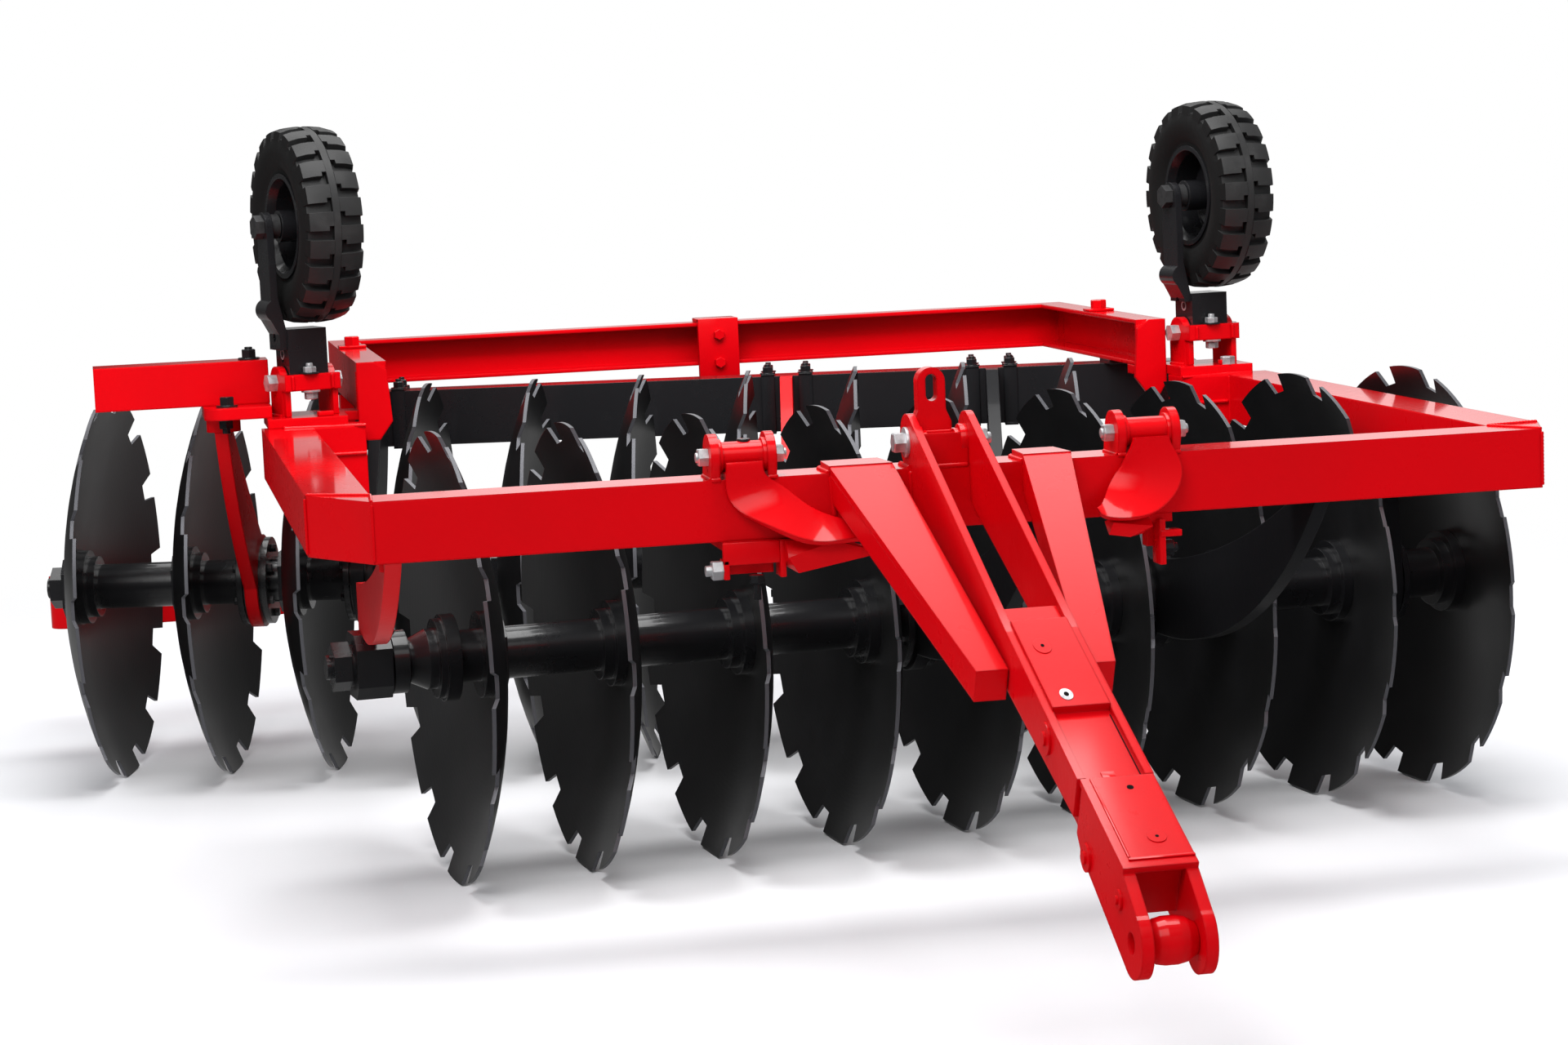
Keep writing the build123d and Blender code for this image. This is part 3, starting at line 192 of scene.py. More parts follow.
class Finish:
    """A material built from one Principled shader."""

    def __init__(self, name, colour, roughness, metallic=0.0, coat=0.0, mirror=0.5):
        self.material = bpy.data.materials.new(name)
        self.material.use_nodes = True
        self.tree = self.material.node_tree
        self.shader = self.tree.nodes["Principled BSDF"]
        self.shader.inputs["Base Color"].default_value = (*colour, 1.0)
        self.shader.inputs["Roughness"].default_value = roughness
        self.shader.inputs["Metallic"].default_value = metallic
        self.shader.inputs["Specular IOR Level"].default_value = mirror
        self.shader.inputs["Coat Weight"].default_value = coat
        self.shader.inputs["Coat Roughness"].default_value = 0.08

    def node(self, kind, settings=None, sockets=None):
        node = self.tree.nodes.new(kind)
        for name, value in (settings or {}).items():
            setattr(node, name, value)
        for name, value in (sockets or {}).items():
            if isinstance(value, Shade):
                self.tree.links.new(value.socket, node.inputs[name])
            else:
                node.inputs[name].default_value = value
        return node

    def out(self, node, name=0):
        return Shade(self.tree, node.outputs[name])

    def place(self):
        return self.out(self.node("ShaderNodeTexCoord"), "Object")

    def noise(self, scale, detail=3.0, rough=0.55):
        made = self.node("ShaderNodeTexNoise", {}, {"Vector": self.place(), "Scale": scale, "Detail": detail,
                                                   "Roughness": rough})
        return self.out(made, 0)

    def blend(self, factor, first, second):
        made = self.node("ShaderNodeMix", {"data_type": "RGBA"})
        for place, value in ((0, factor), (6, first), (7, second)):
            if isinstance(value, Shade):
                self.tree.links.new(value.socket, made.inputs[place])
            elif place:
                made.inputs[place].default_value = (*value, 1.0)
            else:
                made.inputs[place].default_value = value
        return self.out(made, 2)

    def feed(self, name, shade):
        self.tree.links.new(shade.socket, self.shader.inputs[name])

    def relief(self, height, distance, strength=1.0, edge=0.0):
        """Surface relief over edges rounded by edge metres."""
        sockets = {"Height": height, "Distance": distance, "Strength": strength}
        if edge:
            rounded = self.node("ShaderNodeBevel", {"samples": 4}, {"Radius": edge})
            sockets["Normal"] = self.out(rounded)
        self.feed("Normal", self.out(self.node("ShaderNodeBump", {}, sockets)))

    def along(self, direction):
        """The surface normal's share along direction."""
        normal = self.out(self.node("ShaderNodeNewGeometry"), "Normal")
        made = self.node("ShaderNodeVectorMath", {"operation": "DOT_PRODUCT"}, {0: normal, 1: tuple(direction)})
        return self.out(made, "Value")

    def measure(self, point, direction):
        """How far a place lies from point along direction."""
        away = self.out(self.node("ShaderNodeVectorMath", {"operation": "SUBTRACT"},
                                  {0: self.place(), 1: tuple(point)}))
        made = self.node("ShaderNodeVectorMath", {"operation": "DOT_PRODUCT"}, {0: away, 1: tuple(direction)})
        return self.out(made, "Value")

    def off_axis(self, point, direction):
        """The distance from a line through point."""
        place = self.place()
        away = self.out(self.node("ShaderNodeVectorMath", {"operation": "SUBTRACT"}, {0: place, 1: tuple(point)}))
        turned_off = self.node("ShaderNodeVectorMath", {"operation": "CROSS_PRODUCT"},
                               {0: away, 1: tuple(direction)})
        length = self.node("ShaderNodeVectorMath", {"operation": "LENGTH"}, {0: self.out(turned_off)})
        return self.out(length, "Value")


def paint(name, colour, roughness, coat, mirror, edge, other=None, band=None):
    """Sprayed paint with slight orange peel and dust; within the band it has the other colour."""
    made = Finish(name, colour, roughness, 0.0, coat, mirror)
    patches = made.noise(3.2, 4.0)
    fine = made.noise(42.0, 3.0)
    cloud = patches.above(0.46, 0.72)
    tone = made.blend(cloud * 0.5, colour, tuple(part * 0.84 for part in colour))
    if other:
        point, direction, half = band
        outside = made.measure(point, direction).size().above(half - 0.001, half + 0.001)
        tone = made.blend(outside, other, tone)
    made.feed("Base Color", tone)
    made.feed("Coat Weight", made.along((0, 0, 1)).above(0.0, 0.4) * coat)
    made.feed("Roughness", cloud * 0.07 + fine * 0.06 + (roughness - 0.05))
    made.relief(made.noise(95.0, 2.0) + patches * 0.4, 0.0006, 0.3, edge)
    return made.material


def blade_steel(name, colour, hub, direction, mirror):
    """Coated blade steel: soft bands round the axle, and a painted highlight that lightens the cut edges."""
    made = Finish(name, colour, 0.34, 0.05, 0.0, mirror)
    reach = made.off_axis(spot(*hub), direction)
    smudge = made.noise(5.5, 5.0)
    bands = made.noise(130.0, 2.0)
    rings = made.out(made.node("ShaderNodeMath", {"operation": "SINE"}, {0: reach * 900.0}))
    # Painted highlight: faces near the rim that look across the axle get a lighter grey and a little metal
    edge = 1.0 - made.along(direction).size().above(0.1, 0.3)
    rim_highlight = edge * reach.above(0.29, 0.3)
    tone = made.blend(smudge.above(0.42, 0.78) * 0.8, colour, tuple(part * 1.8 for part in colour))
    tone = made.blend(rim_highlight * 0.8, tone, (0.11, 0.11, 0.12))
    made.feed("Base Color", tone)
    made.feed("Roughness", smudge * 0.16 + 0.28)
    made.feed("Metallic", rim_highlight * 0.35 + 0.05)
    made.relief(bands * 0.5 + rings * 0.1 + smudge, 0.0004, 0.25, 0.0008)
    return made.material


def plated(name, colour):
    """Zinc plating: fine grain and dulled patches."""
    made = Finish(name, colour, 0.3, 0.7)
    patch = made.noise(60.0, 4.0)
    made.feed("Base Color", made.blend(patch.above(0.4, 0.7), colour, tuple(part * 0.55 for part in colour)))
    made.feed("Roughness", patch * 0.3 + 0.2)
    made.relief(made.noise(700.0, 2.0), 0.0002, 0.4, 0.0008)
    return made.material


def tyre_rubber(name, colour):
    """Rubber: a dull sheen, with a little dust and mould grain, and painted shade that darkens the sidewalls."""
    made = Finish(name, colour, 0.55, mirror=0.35)
    dust = made.noise(24.0, 5.0).above(0.5, 0.8)
    # Painted shade: faces that look along the axle, the sidewalls, get a darker colour than the tread and more
    # roughness
    wall_shade = made.along(gang_axis(sum(turn for _, turn, _ in BRACKETS.values()) / 2)).size().above(0.55, 0.85)
    tone = made.blend(dust * 0.2, tuple(part * 1.8 for part in colour), (0.04, 0.039, 0.038))
    made.feed("Base Color", made.blend(wall_shade, tone, tuple(part * 0.35 for part in colour)))
    made.feed("Roughness", dust * 0.2 + wall_shade * 0.35 + 0.42)
    made.relief(made.noise(380.0, 3.0) + made.noise(60.0, 2.0), 0.0005, 0.4, 0.0012)
    return made.material


finishes = {}


# Mesh helpers


def finished(name, mesh, body, slot, smooth=35.0, finish=None):
    """Turns a bmesh into a finished piece that rides on a body."""
    data = bpy.data.meshes.new(name)
    bmesh.ops.remove_doubles(mesh, verts=mesh.verts, dist=1e-6)
    bmesh.ops.recalc_face_normals(mesh, faces=mesh.faces)
    mesh.to_mesh(data)
    mesh.free()
    piece = bpy.data.objects.new(name, data)
    bpy.context.scene.collection.objects.link(piece)
    data.materials.append(finish or finishes[slot])
    data.shade_smooth()
    data.set_sharp_from_angle(angle=math.radians(smooth))
    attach(piece, body)
    return piece


def hexagon(mesh, placing, across, height, chamfer=True):
    """A hexagonal head with its top corners turned off; it stands on its own Z = 0."""
    radius = across / math.sqrt(3.0) / 1000.0
    made = bmesh.ops.create_cone(mesh, cap_ends=True, segments=6, radius1=radius, radius2=radius,
                                 depth=height / 1000.0,
                                 matrix=placing @ Matrix.Translation((0, 0, height / 2000.0)))
    if chamfer:
        own = placing.inverted()
        top = [v for v in made["verts"] if (own @ v.co).z > height / 2000.0]
        edges = {e for v in top for e in v.link_edges if e.other_vert(v) in top}
        bmesh.ops.bevel(mesh, geom=list(edges), offset=across * 0.055 / 1000.0, offset_type="OFFSET",
                        segments=1, profile=0.5, affect="EDGES", material=-1)


def ring(mesh, placing, radius, height, segments=20, edge=0.0):
    """A round disc that stands on its own Z = 0, with a bevelled upper rim."""
    made = bmesh.ops.create_cone(mesh, cap_ends=True, segments=segments, radius1=radius / 1000.0,
                                 radius2=radius / 1000.0, depth=height / 1000.0,
                                 matrix=placing @ Matrix.Translation((0, 0, height / 2000.0)))
    if edge:
        own = placing.inverted()
        top = [v for v in made["verts"] if (own @ v.co).z > height / 2000.0]
        edges = {e for v in top for e in v.link_edges if e.other_vert(v) in top}
        bmesh.ops.bevel(mesh, geom=list(edges), offset=edge / 1000.0, offset_type="OFFSET", segments=2,
                        profile=0.5, affect="EDGES", material=-1)


def block(mesh, placing, length, width, height, edge=1.5):
    """A plate or block that stands on its own Z = 0, with its edges eased."""
    scale = Matrix.Diagonal((length / 1000.0, width / 1000.0, height / 1000.0, 1.0))
    lift = Matrix.Translation((0, 0, height / 2000.0))
    made = bmesh.ops.create_cube(mesh, size=1.0, matrix=placing @ lift @ scale)
    if edge:
        edges = {e for v in made["verts"] for e in v.link_edges}
        bmesh.ops.bevel(mesh, geom=list(edges), offset=edge / 1000.0, offset_type="OFFSET", segments=2,
                        profile=0.5, affect="EDGES", material=-1)


def hull(mesh, points):
    """The solid stretched round some places."""
    verts = [mesh.verts.new(spot(*point)) for point in points]
    made = bmesh.ops.convex_hull(mesh, input=verts)
    spare = {v for v in made["geom_interior"] + made["geom_unused"] if isinstance(v, bmesh.types.BMVert)}
    bmesh.ops.delete(mesh, geom=list(spare), context="VERTS")


def bolt(mesh, placing, across=24.0, washer=3.0, stub=0.0):
    """A bolt head, or a nut with a thread end, on a washer."""
    head = across * HEAD_HEIGHT
    if washer:
        ring(mesh, placing, across * WASHER_REACH, washer, 20, 0.5)
    hexagon(mesh, placing @ Matrix.Translation((0, 0, washer / 1000.0)), across, head)
    if stub:
        end = placing @ Matrix.Translation((0, 0, (washer + head) / 1000.0))
        ring(mesh, end, across * THREAD_REACH, stub, 14, 0.8)


def weld(mesh, first, last, face, radius=4.5, pitch=5.0):
    """A rippled weld bead from first to last, bulging towards face."""
    first = spot(*first)
    last = spot(*last)
    run = last - first
    face = Vector(face).normalized()
    side = run.cross(face).normalized()
    count = max(2, round(run.length * 1000.0 / pitch))
    placing = Matrix((side, face, run.normalized())).transposed().to_4x4()
    placing.translation = first
    made = bmesh.ops.create_circle(mesh, cap_ends=True, segments=8, radius=radius * WELD_END / 1000.0,
                                   matrix=placing)
    tail = made["verts"]
    edges = list({e for v in tail for e in v.link_edges})
    for step in range(1, 2 * count + 1):
        grown = bmesh.ops.extrude_edge_only(mesh, edges=edges)["geom"]
        verts = [v for v in grown if isinstance(v, bmesh.types.BMVert)]
        edges = [e for e in grown if isinstance(e, bmesh.types.BMEdge)]
        bmesh.ops.translate(mesh, vec=run / (2 * count), verts=verts)
        factor = WELD_SWELL if step % 2 else WELD_NARROW
        if step == 2 * count:
            factor = WELD_END
        centre = sum((v.co for v in verts), Vector()) / len(verts)
        bmesh.ops.scale(mesh, vec=(factor,) * 3, space=Matrix.Translation(-centre), verts=verts)
    bmesh.ops.contextual_create(mesh, geom=edges)


def wheel_placing(side):
    """A placing at a wheel's centre: own Z runs along the stub axle."""
    middle, turn, height = BRACKETS[side]
    return turned(*bracket_spot(side, WHEEL_SHIFT, 0, height), (0, 0, 1), gang_axis(turn))


def slope_placing(x, run, depth=0.0):
    """A placing on the drawbar's top line: own X runs down the bar and own Z points out of its top face."""
    slope = math.radians(DRAWBAR_SLOPE)
    down = Vector((0, -math.cos(slope), -math.sin(slope)))
    out = Vector((0, -math.sin(slope), math.cos(slope)))
    point = Vector((x, 0, DRAWBAR_LINE)) + down * run - out * depth
    return turned(*point, down, out)


# Sizes and colours that a user would change


class HarrowSizes(bpy.types.PropertyGroup):
    """Sizes of the added pieces"""

    tread_depth: FloatProperty(name="Tread Depth", description="Height of the tyre lugs", default=0.011,
                               min=0.004, max=0.016, unit="LENGTH")
    lugs: IntProperty(name="Lugs", description="Lugs on each shoulder of a tyre", default=22, min=12, max=32)
    weld_radius: FloatProperty(name="Weld Radius", description="Half width of the weld beads", default=0.0042,
                               min=0.002, max=0.008, unit="LENGTH")
    edge_radius: FloatProperty(name="Edge Radius", description="Rounding seen on the tubes' edges", default=0.0045,
                               min=0.001, max=0.01, unit="LENGTH")


class HarrowColours(bpy.types.PropertyGroup):
    """Colours of the finishes"""

    red: FloatVectorProperty(name="Frame Paint", description="Colour of the frame's paint",
                             default=(0.5, 0.0006, 0.003), size=3, subtype="COLOR", min=0.0, max=1.0)
    black: FloatVectorProperty(name="Running Gear Paint", description="Colour of the spools, posts and beam",
                               default=(0.008, 0.008, 0.009), size=3, subtype="COLOR", min=0.0, max=1.0)
    blade: FloatVectorProperty(name="Blade Coating", description="Colour of the notched blades",
                               default=(0.007, 0.007, 0.0075), size=3, subtype="COLOR", min=0.0, max=1.0)
    zinc: FloatVectorProperty(name="Plating", description="Colour of the plated bolts", default=(0.6, 0.6, 0.61),
                              size=3, subtype="COLOR", min=0.0, max=1.0)
    rubber: FloatVectorProperty(name="Rubber", description="Colour of the tyres", default=(0.008, 0.008, 0.008),
                                size=3, subtype="COLOR", min=0.0, max=1.0)
    floor: FloatVectorProperty(name="Floor", description="Colour of the studio floor", default=(0.58, 0.58, 0.59),
                               size=3, subtype="COLOR", min=0.0, max=1.0)


# Operators


class HARROW_OT_finishes(bpy.types.Operator):
    """Make the paints, plating and rubber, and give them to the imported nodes"""

    bl_idname = "harrow.finishes"
    bl_label = "Finishes"

    def execute(self, context):
        colours = context.scene.harrow_colours
        edge = context.scene.harrow_sizes.edge_radius
        red = tuple(colours.red)
        black = tuple(colours.black)
        finishes["red_paint"] = paint("red_paint", red, 0.3, 0.9, 0.06, edge)
        finishes["fine_red"] = paint("fine_red", red, 0.3, 0.9, 0.06, 0.0008)
        finishes["black_paint"] = paint("black_paint", black, 0.28, 0.7, 0.5, 0.0016)
        axis = gang_axis(REAR_ANGLE)
        finishes["front_hangers"] = paint("front_hangers", black, 0.34, 0.2, 0.2, 0.002, red,
                                          (spot(-900, 0, 0), (1, 0, 0), 0.25))
        finishes["rear_hangers"] = paint("rear_hangers", black, 0.34, 0.2, 0.2, 0.002, red,
                                         (spot(*(REAR_HUB + axis * REAR_SEATS[2])), axis, 0.09))
        finishes["front_blade"] = blade_steel("front_blade", tuple(colours.blade), FRONT_HUB,
                                              gang_axis(FRONT_ANGLE), 0.5)
        finishes["rear_blade"] = blade_steel("rear_blade", tuple(colours.blade), REAR_HUB,
                                             gang_axis(REAR_ANGLE), 0.2)
        finishes["blade_steel"] = finishes["front_blade"]
        finishes["zinc"] = plated("zinc", tuple(colours.zinc))
        finishes["dark_steel"] = plated("dark_steel", tuple(part * 0.12 for part in colours.zinc))
        finishes["shadow"] = Finish("shadow", (0.004, 0.003, 0.003), 0.9, mirror=0.1).material
        finishes["tyre"] = tyre_rubber("tyre", tuple(colours.rubber))
        slots = {row["node"]: row["material_slot"] for row in frame["record"]["subparts"]}
        for name, node in frame["nodes"].items():
            finish = finishes[slots[name]]
            if name == "rear_discs":
                finish = finishes["rear_blade"]
            if name.startswith("wheel_stub"):
                finish = finishes["dark_steel"]
            if name in ("front_hangers", "rear_hangers"):
                finish = finishes[name]
            node.data.materials.clear()
            node.data.materials.append(finish)
        return {"FINISHED"}


class HARROW_OT_tyres(bpy.types.Operator):
    """Make the two lugged tyres in place of the plain ones"""

    bl_idname = "harrow.tyres"
    bl_label = "Lugged Tyres"

    def execute(self, context):
        sizes = context.scene.harrow_sizes
        for side, name, body in ((-1, "tyre_left", "left_wheel"), (1, "tyre_right", "right_wheel")):
            mesh = self.tyre(wheel_placing(side), sizes.lugs, sizes.tread_depth * 1000.0)
            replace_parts(finished(name + "_lugged", mesh, body, "tyre", 32.0), name)
        return {"FINISHED"}

    def tyre(self, placing, lugs, depth):
        """A carcass spun from its section, with lugs drawn out of its tread."""
        mesh = bmesh.new()
        base = TYRE_RADIUS - depth
        half = [(6, base), (14, base - 0.4), (30, base - 2.0), (45, base - 6.5), (47.5, base - 13), (50, 130),
                (49.5, 118), (46, 101), (39, 92), (38, 80)]
        section = [(-across, radius) for across, radius in reversed(half)] + half
        steps = lugs * 6
        verts = [mesh.verts.new((radius / 1000.0, 0.0, across / 1000.0)) for across, radius in section]
        edges = [mesh.edges.new(pair) for pair in zip(verts[:-1], verts[1:])]
        edges.append(mesh.edges.new((verts[-1], verts[0])))
        bmesh.ops.spin(mesh, geom=verts + edges, cent=(0, 0, 0), axis=(0, 0, 1), angle=2 * math.pi, steps=steps,
                       use_merge=True)
        bmesh.ops.remove_doubles(mesh, verts=mesh.verts, dist=1e-6)
        bmesh.ops.recalc_face_normals(mesh, faces=mesh.faces)
        shoulder = []
        rib = []
        for face in mesh.faces:
            middle = face.calc_center_median()
            radius = math.hypot(middle.x, middle.y) * 1000.0
            across = middle.z * 1000.0
            if radius < base - 11:
                continue
            turn = math.atan2(middle.y, middle.x) / (2 * math.pi) * steps
            if abs(across) < 6:
                rib.append(face)
                continue
            place = math.floor(turn + (3 if across > 0 else 0)) % 6
            if place < 4 and (abs(across) > 14 or place < 3):
                shoulder.append(face)
        for faces, lift in ((shoulder, depth), (rib, depth * 0.92)):
            grown = bmesh.ops.extrude_face_region(mesh, geom=faces)["geom"]
            bmesh.ops.delete(mesh, geom=faces, context="FACES_ONLY")
            for vert in [v for v in grown if isinstance(v, bmesh.types.BMVert)]:
                length = math.hypot(vert.co.x, vert.co.y)
                rise = lift if abs(vert.co.z) * 1000.0 < 46 else lift * 0.35
                factor = (length + rise / 1000.0) / length
                vert.co.x *= factor
                vert.co.y *= factor
        bmesh.ops.transform(mesh, matrix=placing, verts=mesh.verts)
        return mesh


class HARROW_OT_fittings(bpy.types.Operator):
    """Make the small plates: points and brackets under the bar, bosses on the drawbar, clamps on the gang beam"""

    bl_idname = "harrow.fittings"
    bl_label = "Small Plates"

    def execute(self, context):
        red = bmesh.new()
        dark = bmesh.new()
        self.points(red)
        light = bmesh.new()
        hole_shade = bmesh.new()
        self.drawbar(red, dark, light, hole_shade)
        finished("plated_fittings", light, "frame", "zinc", 27.0)
        # Painted shade: matte dark dots and a thin dark line laid where holes and a groove would be in shade
        finished("painted_hole_shade", hole_shade, "frame", "black_paint", 27.0, finishes["shadow"])
        self.brackets(red)
        self.rear(red)
        self.clamps(dark)
        finished("red_fittings", red, "frame", "red_paint", 27.0, finishes["fine_red"])
        finished("black_fittings", dark, "frame", "black_paint", 27.0)
        for side, name in ((-1, "left_post"), (1, "right_post")):
            axis = gang_axis(BRACKETS[side][1])
            for slot, radius, height in (("zinc", 9, 0.5), ("black_paint", 5.5, 0.8)):
                mesh = bmesh.new()
                for way in (-1, 1):
                    point = bracket_spot(side, POST_HALF * way, 0, BUSH_HEIGHT)
                    ring(mesh, turned(*point, UP, axis * way), radius, height, 24)
                finished(f"{name}_{slot}_bush", mesh, name, slot)
        return {"FINISHED"}

    def points(self, mesh):
        """Hull-shaped points and small brackets under the front bar."""
        top = FRAME_BOTTOM - 1
        hull(mesh, [(-247, 20, top), (-247, -16, top), (-247, -30, 514), (-246, 10, 500), (-233, -24, 492),
                    (-233, 6, 492), (-185, 14, top), (-185, -34, 533), (-178, -32, 504), (-176, 6, 506),
                    (-121, -40, 514), (-126, -36, 518)])
        hull(mesh, [(252, 20, top), (252, -16, top), (254, -30, 524), (250, 6, 510), (221, -30, 511), (221, 6, 511),
                    (214, 14, top), (196, -38, 533), (189, -38, 517), (196, 4, 530)])
        block(mesh, turned(-292, -4, 506, RIGHT, UP), 76, 10, 30)
        block(mesh, turned(-250, 8, 486, RIGHT, UP), 8, 34, 50)
        block(mesh, turned(-326, 6, 487, RIGHT, UP), 8, 30, 26)
        block(mesh, turned(272, 4, 468, RIGHT, UP), 9, 34, 62)
        block(mesh, turned(284, -2, 506, RIGHT, UP), 30, 26, 9)

    def drawbar(self, red, dark, light, hole_shade):
        """Bosses and lips on the drawbar, matte dark dots and a line painted as the shade in its holes and a
        groove, and the collars inside its cheeks and the deflector ears.
        """
        oval = Matrix.Diagonal((1.5, 1.0, 1.0, 1.0))
        # Painted shade: the matte dark dots and the thin dark line below stand for the shade in holes and in a
        # groove
        ring(red, slope_placing(-37, 541, -CAP_PLATE) @ oval, 11, 1, 28)
        ring(hole_shade, slope_placing(-37, 541, -CAP_PLATE - 1) @ oval, 2.2, 0.3, 18)
        ring(light, slope_placing(-37, 647, -CAP_PLATE) @ oval, 8, 0.8, 28)
        ring(hole_shade, slope_placing(-37, 647, -CAP_PLATE - 0.8) @ oval, 3, 0.3, 24)
        block(hole_shade, slope_placing(7, 744, 0), 126, 1.6, 0.4, 0)
        block(red, slope_placing(-30, 803, 0), 16, 16, 1.5, 0.5)
        ring(hole_shade, slope_placing(-16, 838, -SLEEVE_PLATE), 4, 0.5, 18)
        ring(red, slope_placing(-14, 934, -SLEEVE_PLATE), 11, 1, 24)
        ring(hole_shade, slope_placing(-14, 934, -SLEEVE_PLATE - 1), 2.2, 0.3, 18)
        block(red, slope_placing(-20, 972, -SLEEVE_PLATE), 4, 76, 2, 0.6)
        block(red, slope_placing(-56, 892, -SLEEVE_PLATE), 152, 3, 1.6, 0.5)
        for x, y, z, radius in ((-70, -621, 361, 20), (-68, -766, 250, 17), (-68, -887, 228, 12)):
            ring(red, turned(x, y, z, UP, LEFT), radius, 3, 28)
            ring(red, turned(x - 3, y, z, UP, LEFT), radius * 0.45, 3, 20)
        for x, way in ((-60, 1), (10, -1)):
            ring(red, turned(x, *CHEEK_BOLT, UP, (way, 0, 0)), 21, 10, 28, 1.2)
            ring(red, turned(x + 10 * way, *CHEEK_BOLT, UP, (way, 0, 0)), 15, 6, 28, 0)
        for x in (-334, 222):
            ring(red, turned(x + 6, *EAR_TUBE, UP, RIGHT), 23, 5, 28, 1)
            ring(red, turned(x + 70, *EAR_TUBE, UP, LEFT), 23, 5, 28, 1)
        ring(dark, turned(-291, 22, 665, RIGHT, UP), 9, 5, 20, 1)
        ring(red, turned(-766, 30, 524, RIGHT, UP), 13, 13, 24, 1.5)

    def brackets(self, red):
        """Stops on the base plates."""
        for side in (-1, 1):
            turn = BRACKETS[side][1]
            axis = gang_axis(turn)
            block(red, turned(*bracket_spot(side, 14, -62, 635), axis, UP), 26, 12, 8)
            block(red, turned(*bracket_spot(side, 40, -30, 635), axis, UP), 10, 26, 46)
            block(red, turned(*bracket_spot(side, -40, -26, 635), axis, UP), 10, 26, 42)

    def rear(self, mesh):
        """Square plates under the rails' bolts, and the bracket at the middle of the rear bar."""
        for x, y in ((-675, 1684), (675, 1594)):
            block(mesh, turned(x, y, 715, RIGHT, UP), 48, 40, 5)
        block(mesh, turned(20, 1879, 614, RIGHT, UP), 76, 14, 108)
        block(mesh, turned(20, 1905, 715, RIGHT, UP), 76, 60, 7)

    def clamps(self, mesh):
        """Thin straps round the gang beam at its hangers."""
        for seat in REAR_SEATS[1:]:
            for along in (seat - 34, seat + 34):
                for behind, z, width, height in ((290, 523, 4, 108), (364, 523, 4, 108), (327, BEAM_TOP, 78, 4),
                                                 (327, 523, 78, 4)):
                    point = gang_spot(REAR_HUB, REAR_ANGLE, along, behind, z)
                    block(mesh, turned(*point, gang_axis(REAR_ANGLE), UP), 24, width, height, 0.6)


class HARROW_OT_fasteners(bpy.types.Operator):
    """Set the bolts, nuts and washers"""

    bl_idname = "harrow.fasteners"
    bl_label = "Bolts and Nuts"

    def execute(self, context):
        plain = bmesh.new()
        red = bmesh.new()
        dark = bmesh.new()
        # Cheeks and deflector ears
        bolt(plain, turned(-70, *CHEEK_BOLT, UP, LEFT), 25, 4)
        bolt(plain, turned(20, *CHEEK_BOLT, UP, RIGHT), 25, 4, 6)
        for x in (-340, 216):
            bolt(plain, turned(x, 22, 648, UP, LEFT), 22, 0, 3)
        for x in (-252, 304):
            bolt(plain, turned(x, 22, 648, UP, RIGHT), 22, 0, 4)
        # Wheel brackets and their bands
        for side in (-1, 1):
            axis = gang_axis(BRACKETS[side][1])
            bolt(plain, turned(*bracket_spot(side, -2, -42, 704), axis, UP), 19, 0, 6)
            ring(dark, turned(*bracket_spot(side, -2, -42, 704), axis, UP), 15, 3, 20, 0.5)
            bolt(plain, turned(*bracket_spot(side, -2, -42, 677), axis, DOWN), 19, 3)
        bolt(plain, turned(790, 1216, 635, RIGHT, UP), 22, 0)
        bolt(red, turned(-675, 1684, 720, RIGHT, UP), 25, 0)
        bolt(red, turned(675, 1594, 720, RIGHT, UP), 25, 0)
        # Outrigger and its plate
        bolt(dark, turned(-872, 1336, 727, RIGHT, UP), 22, 3, 4)
        bolt(dark, turned(-915, 1270, 655, RIGHT, UP), 22, 3)
        bolt(dark, turned(-918, 1278, 635, RIGHT, DOWN), 22, 3, 8)
        # Under-bar brackets
        bolt(plain, turned(-330, 4, 499, UP, LEFT), 24, 0, 8)
        bolt(dark, turned(-286, -4, 491, RIGHT, DOWN), 18, 0, 22)
        bolt(dark, turned(277, 4, 489, UP, RIGHT), 22, 0, 6)
        bolt(plain, turned(*gang_spot(FRONT_HUB, FRONT_ANGLE, -160, 0, 376.5), RIGHT, UP), 25, 3, 8)
        # Rear bar's middle bracket and the gang beam's clamps
        for z in (640, 692):
            bolt(red, turned(20, 1879 - 7, z, RIGHT, AHEAD), 18, 0)
        for seat in REAR_SEATS[1:]:
            for along in (seat - 34, seat + 34):
                for behind in (304, 350):
                    point = gang_spot(REAR_HUB, REAR_ANGLE, along, behind, CLAMP_TOP)
                    bolt(dark, turned(*point, gang_axis(REAR_ANGLE), UP), 17, 2, 5)
        # Bearing caps
        for hub, angle, seats in ((FRONT_HUB, FRONT_ANGLE, FRONT_SEATS), (REAR_HUB, REAR_ANGLE, REAR_SEATS)):
            axis = gang_axis(angle)
            for seat in seats:
                for way in (-1, 1):
                    for step in range(6):
                        turn = math.radians(60 * step + 30)
                        point = gang_spot(hub, angle, seat + way * 26, 56 * math.cos(turn),
                                          AXLE_HEIGHT + 56 * math.sin(turn))
                        bolt(dark, turned(*point, UP, axis * way), 13, 0)
        finished("plated_bolts", plain, "frame", "zinc", 30.0)
        finished("painted_bolts", red, "frame", "red_paint", 30.0, finishes["fine_red"])
        finished("black_bolts", dark, "frame", "black_paint", 30.0)
        return {"FINISHED"}


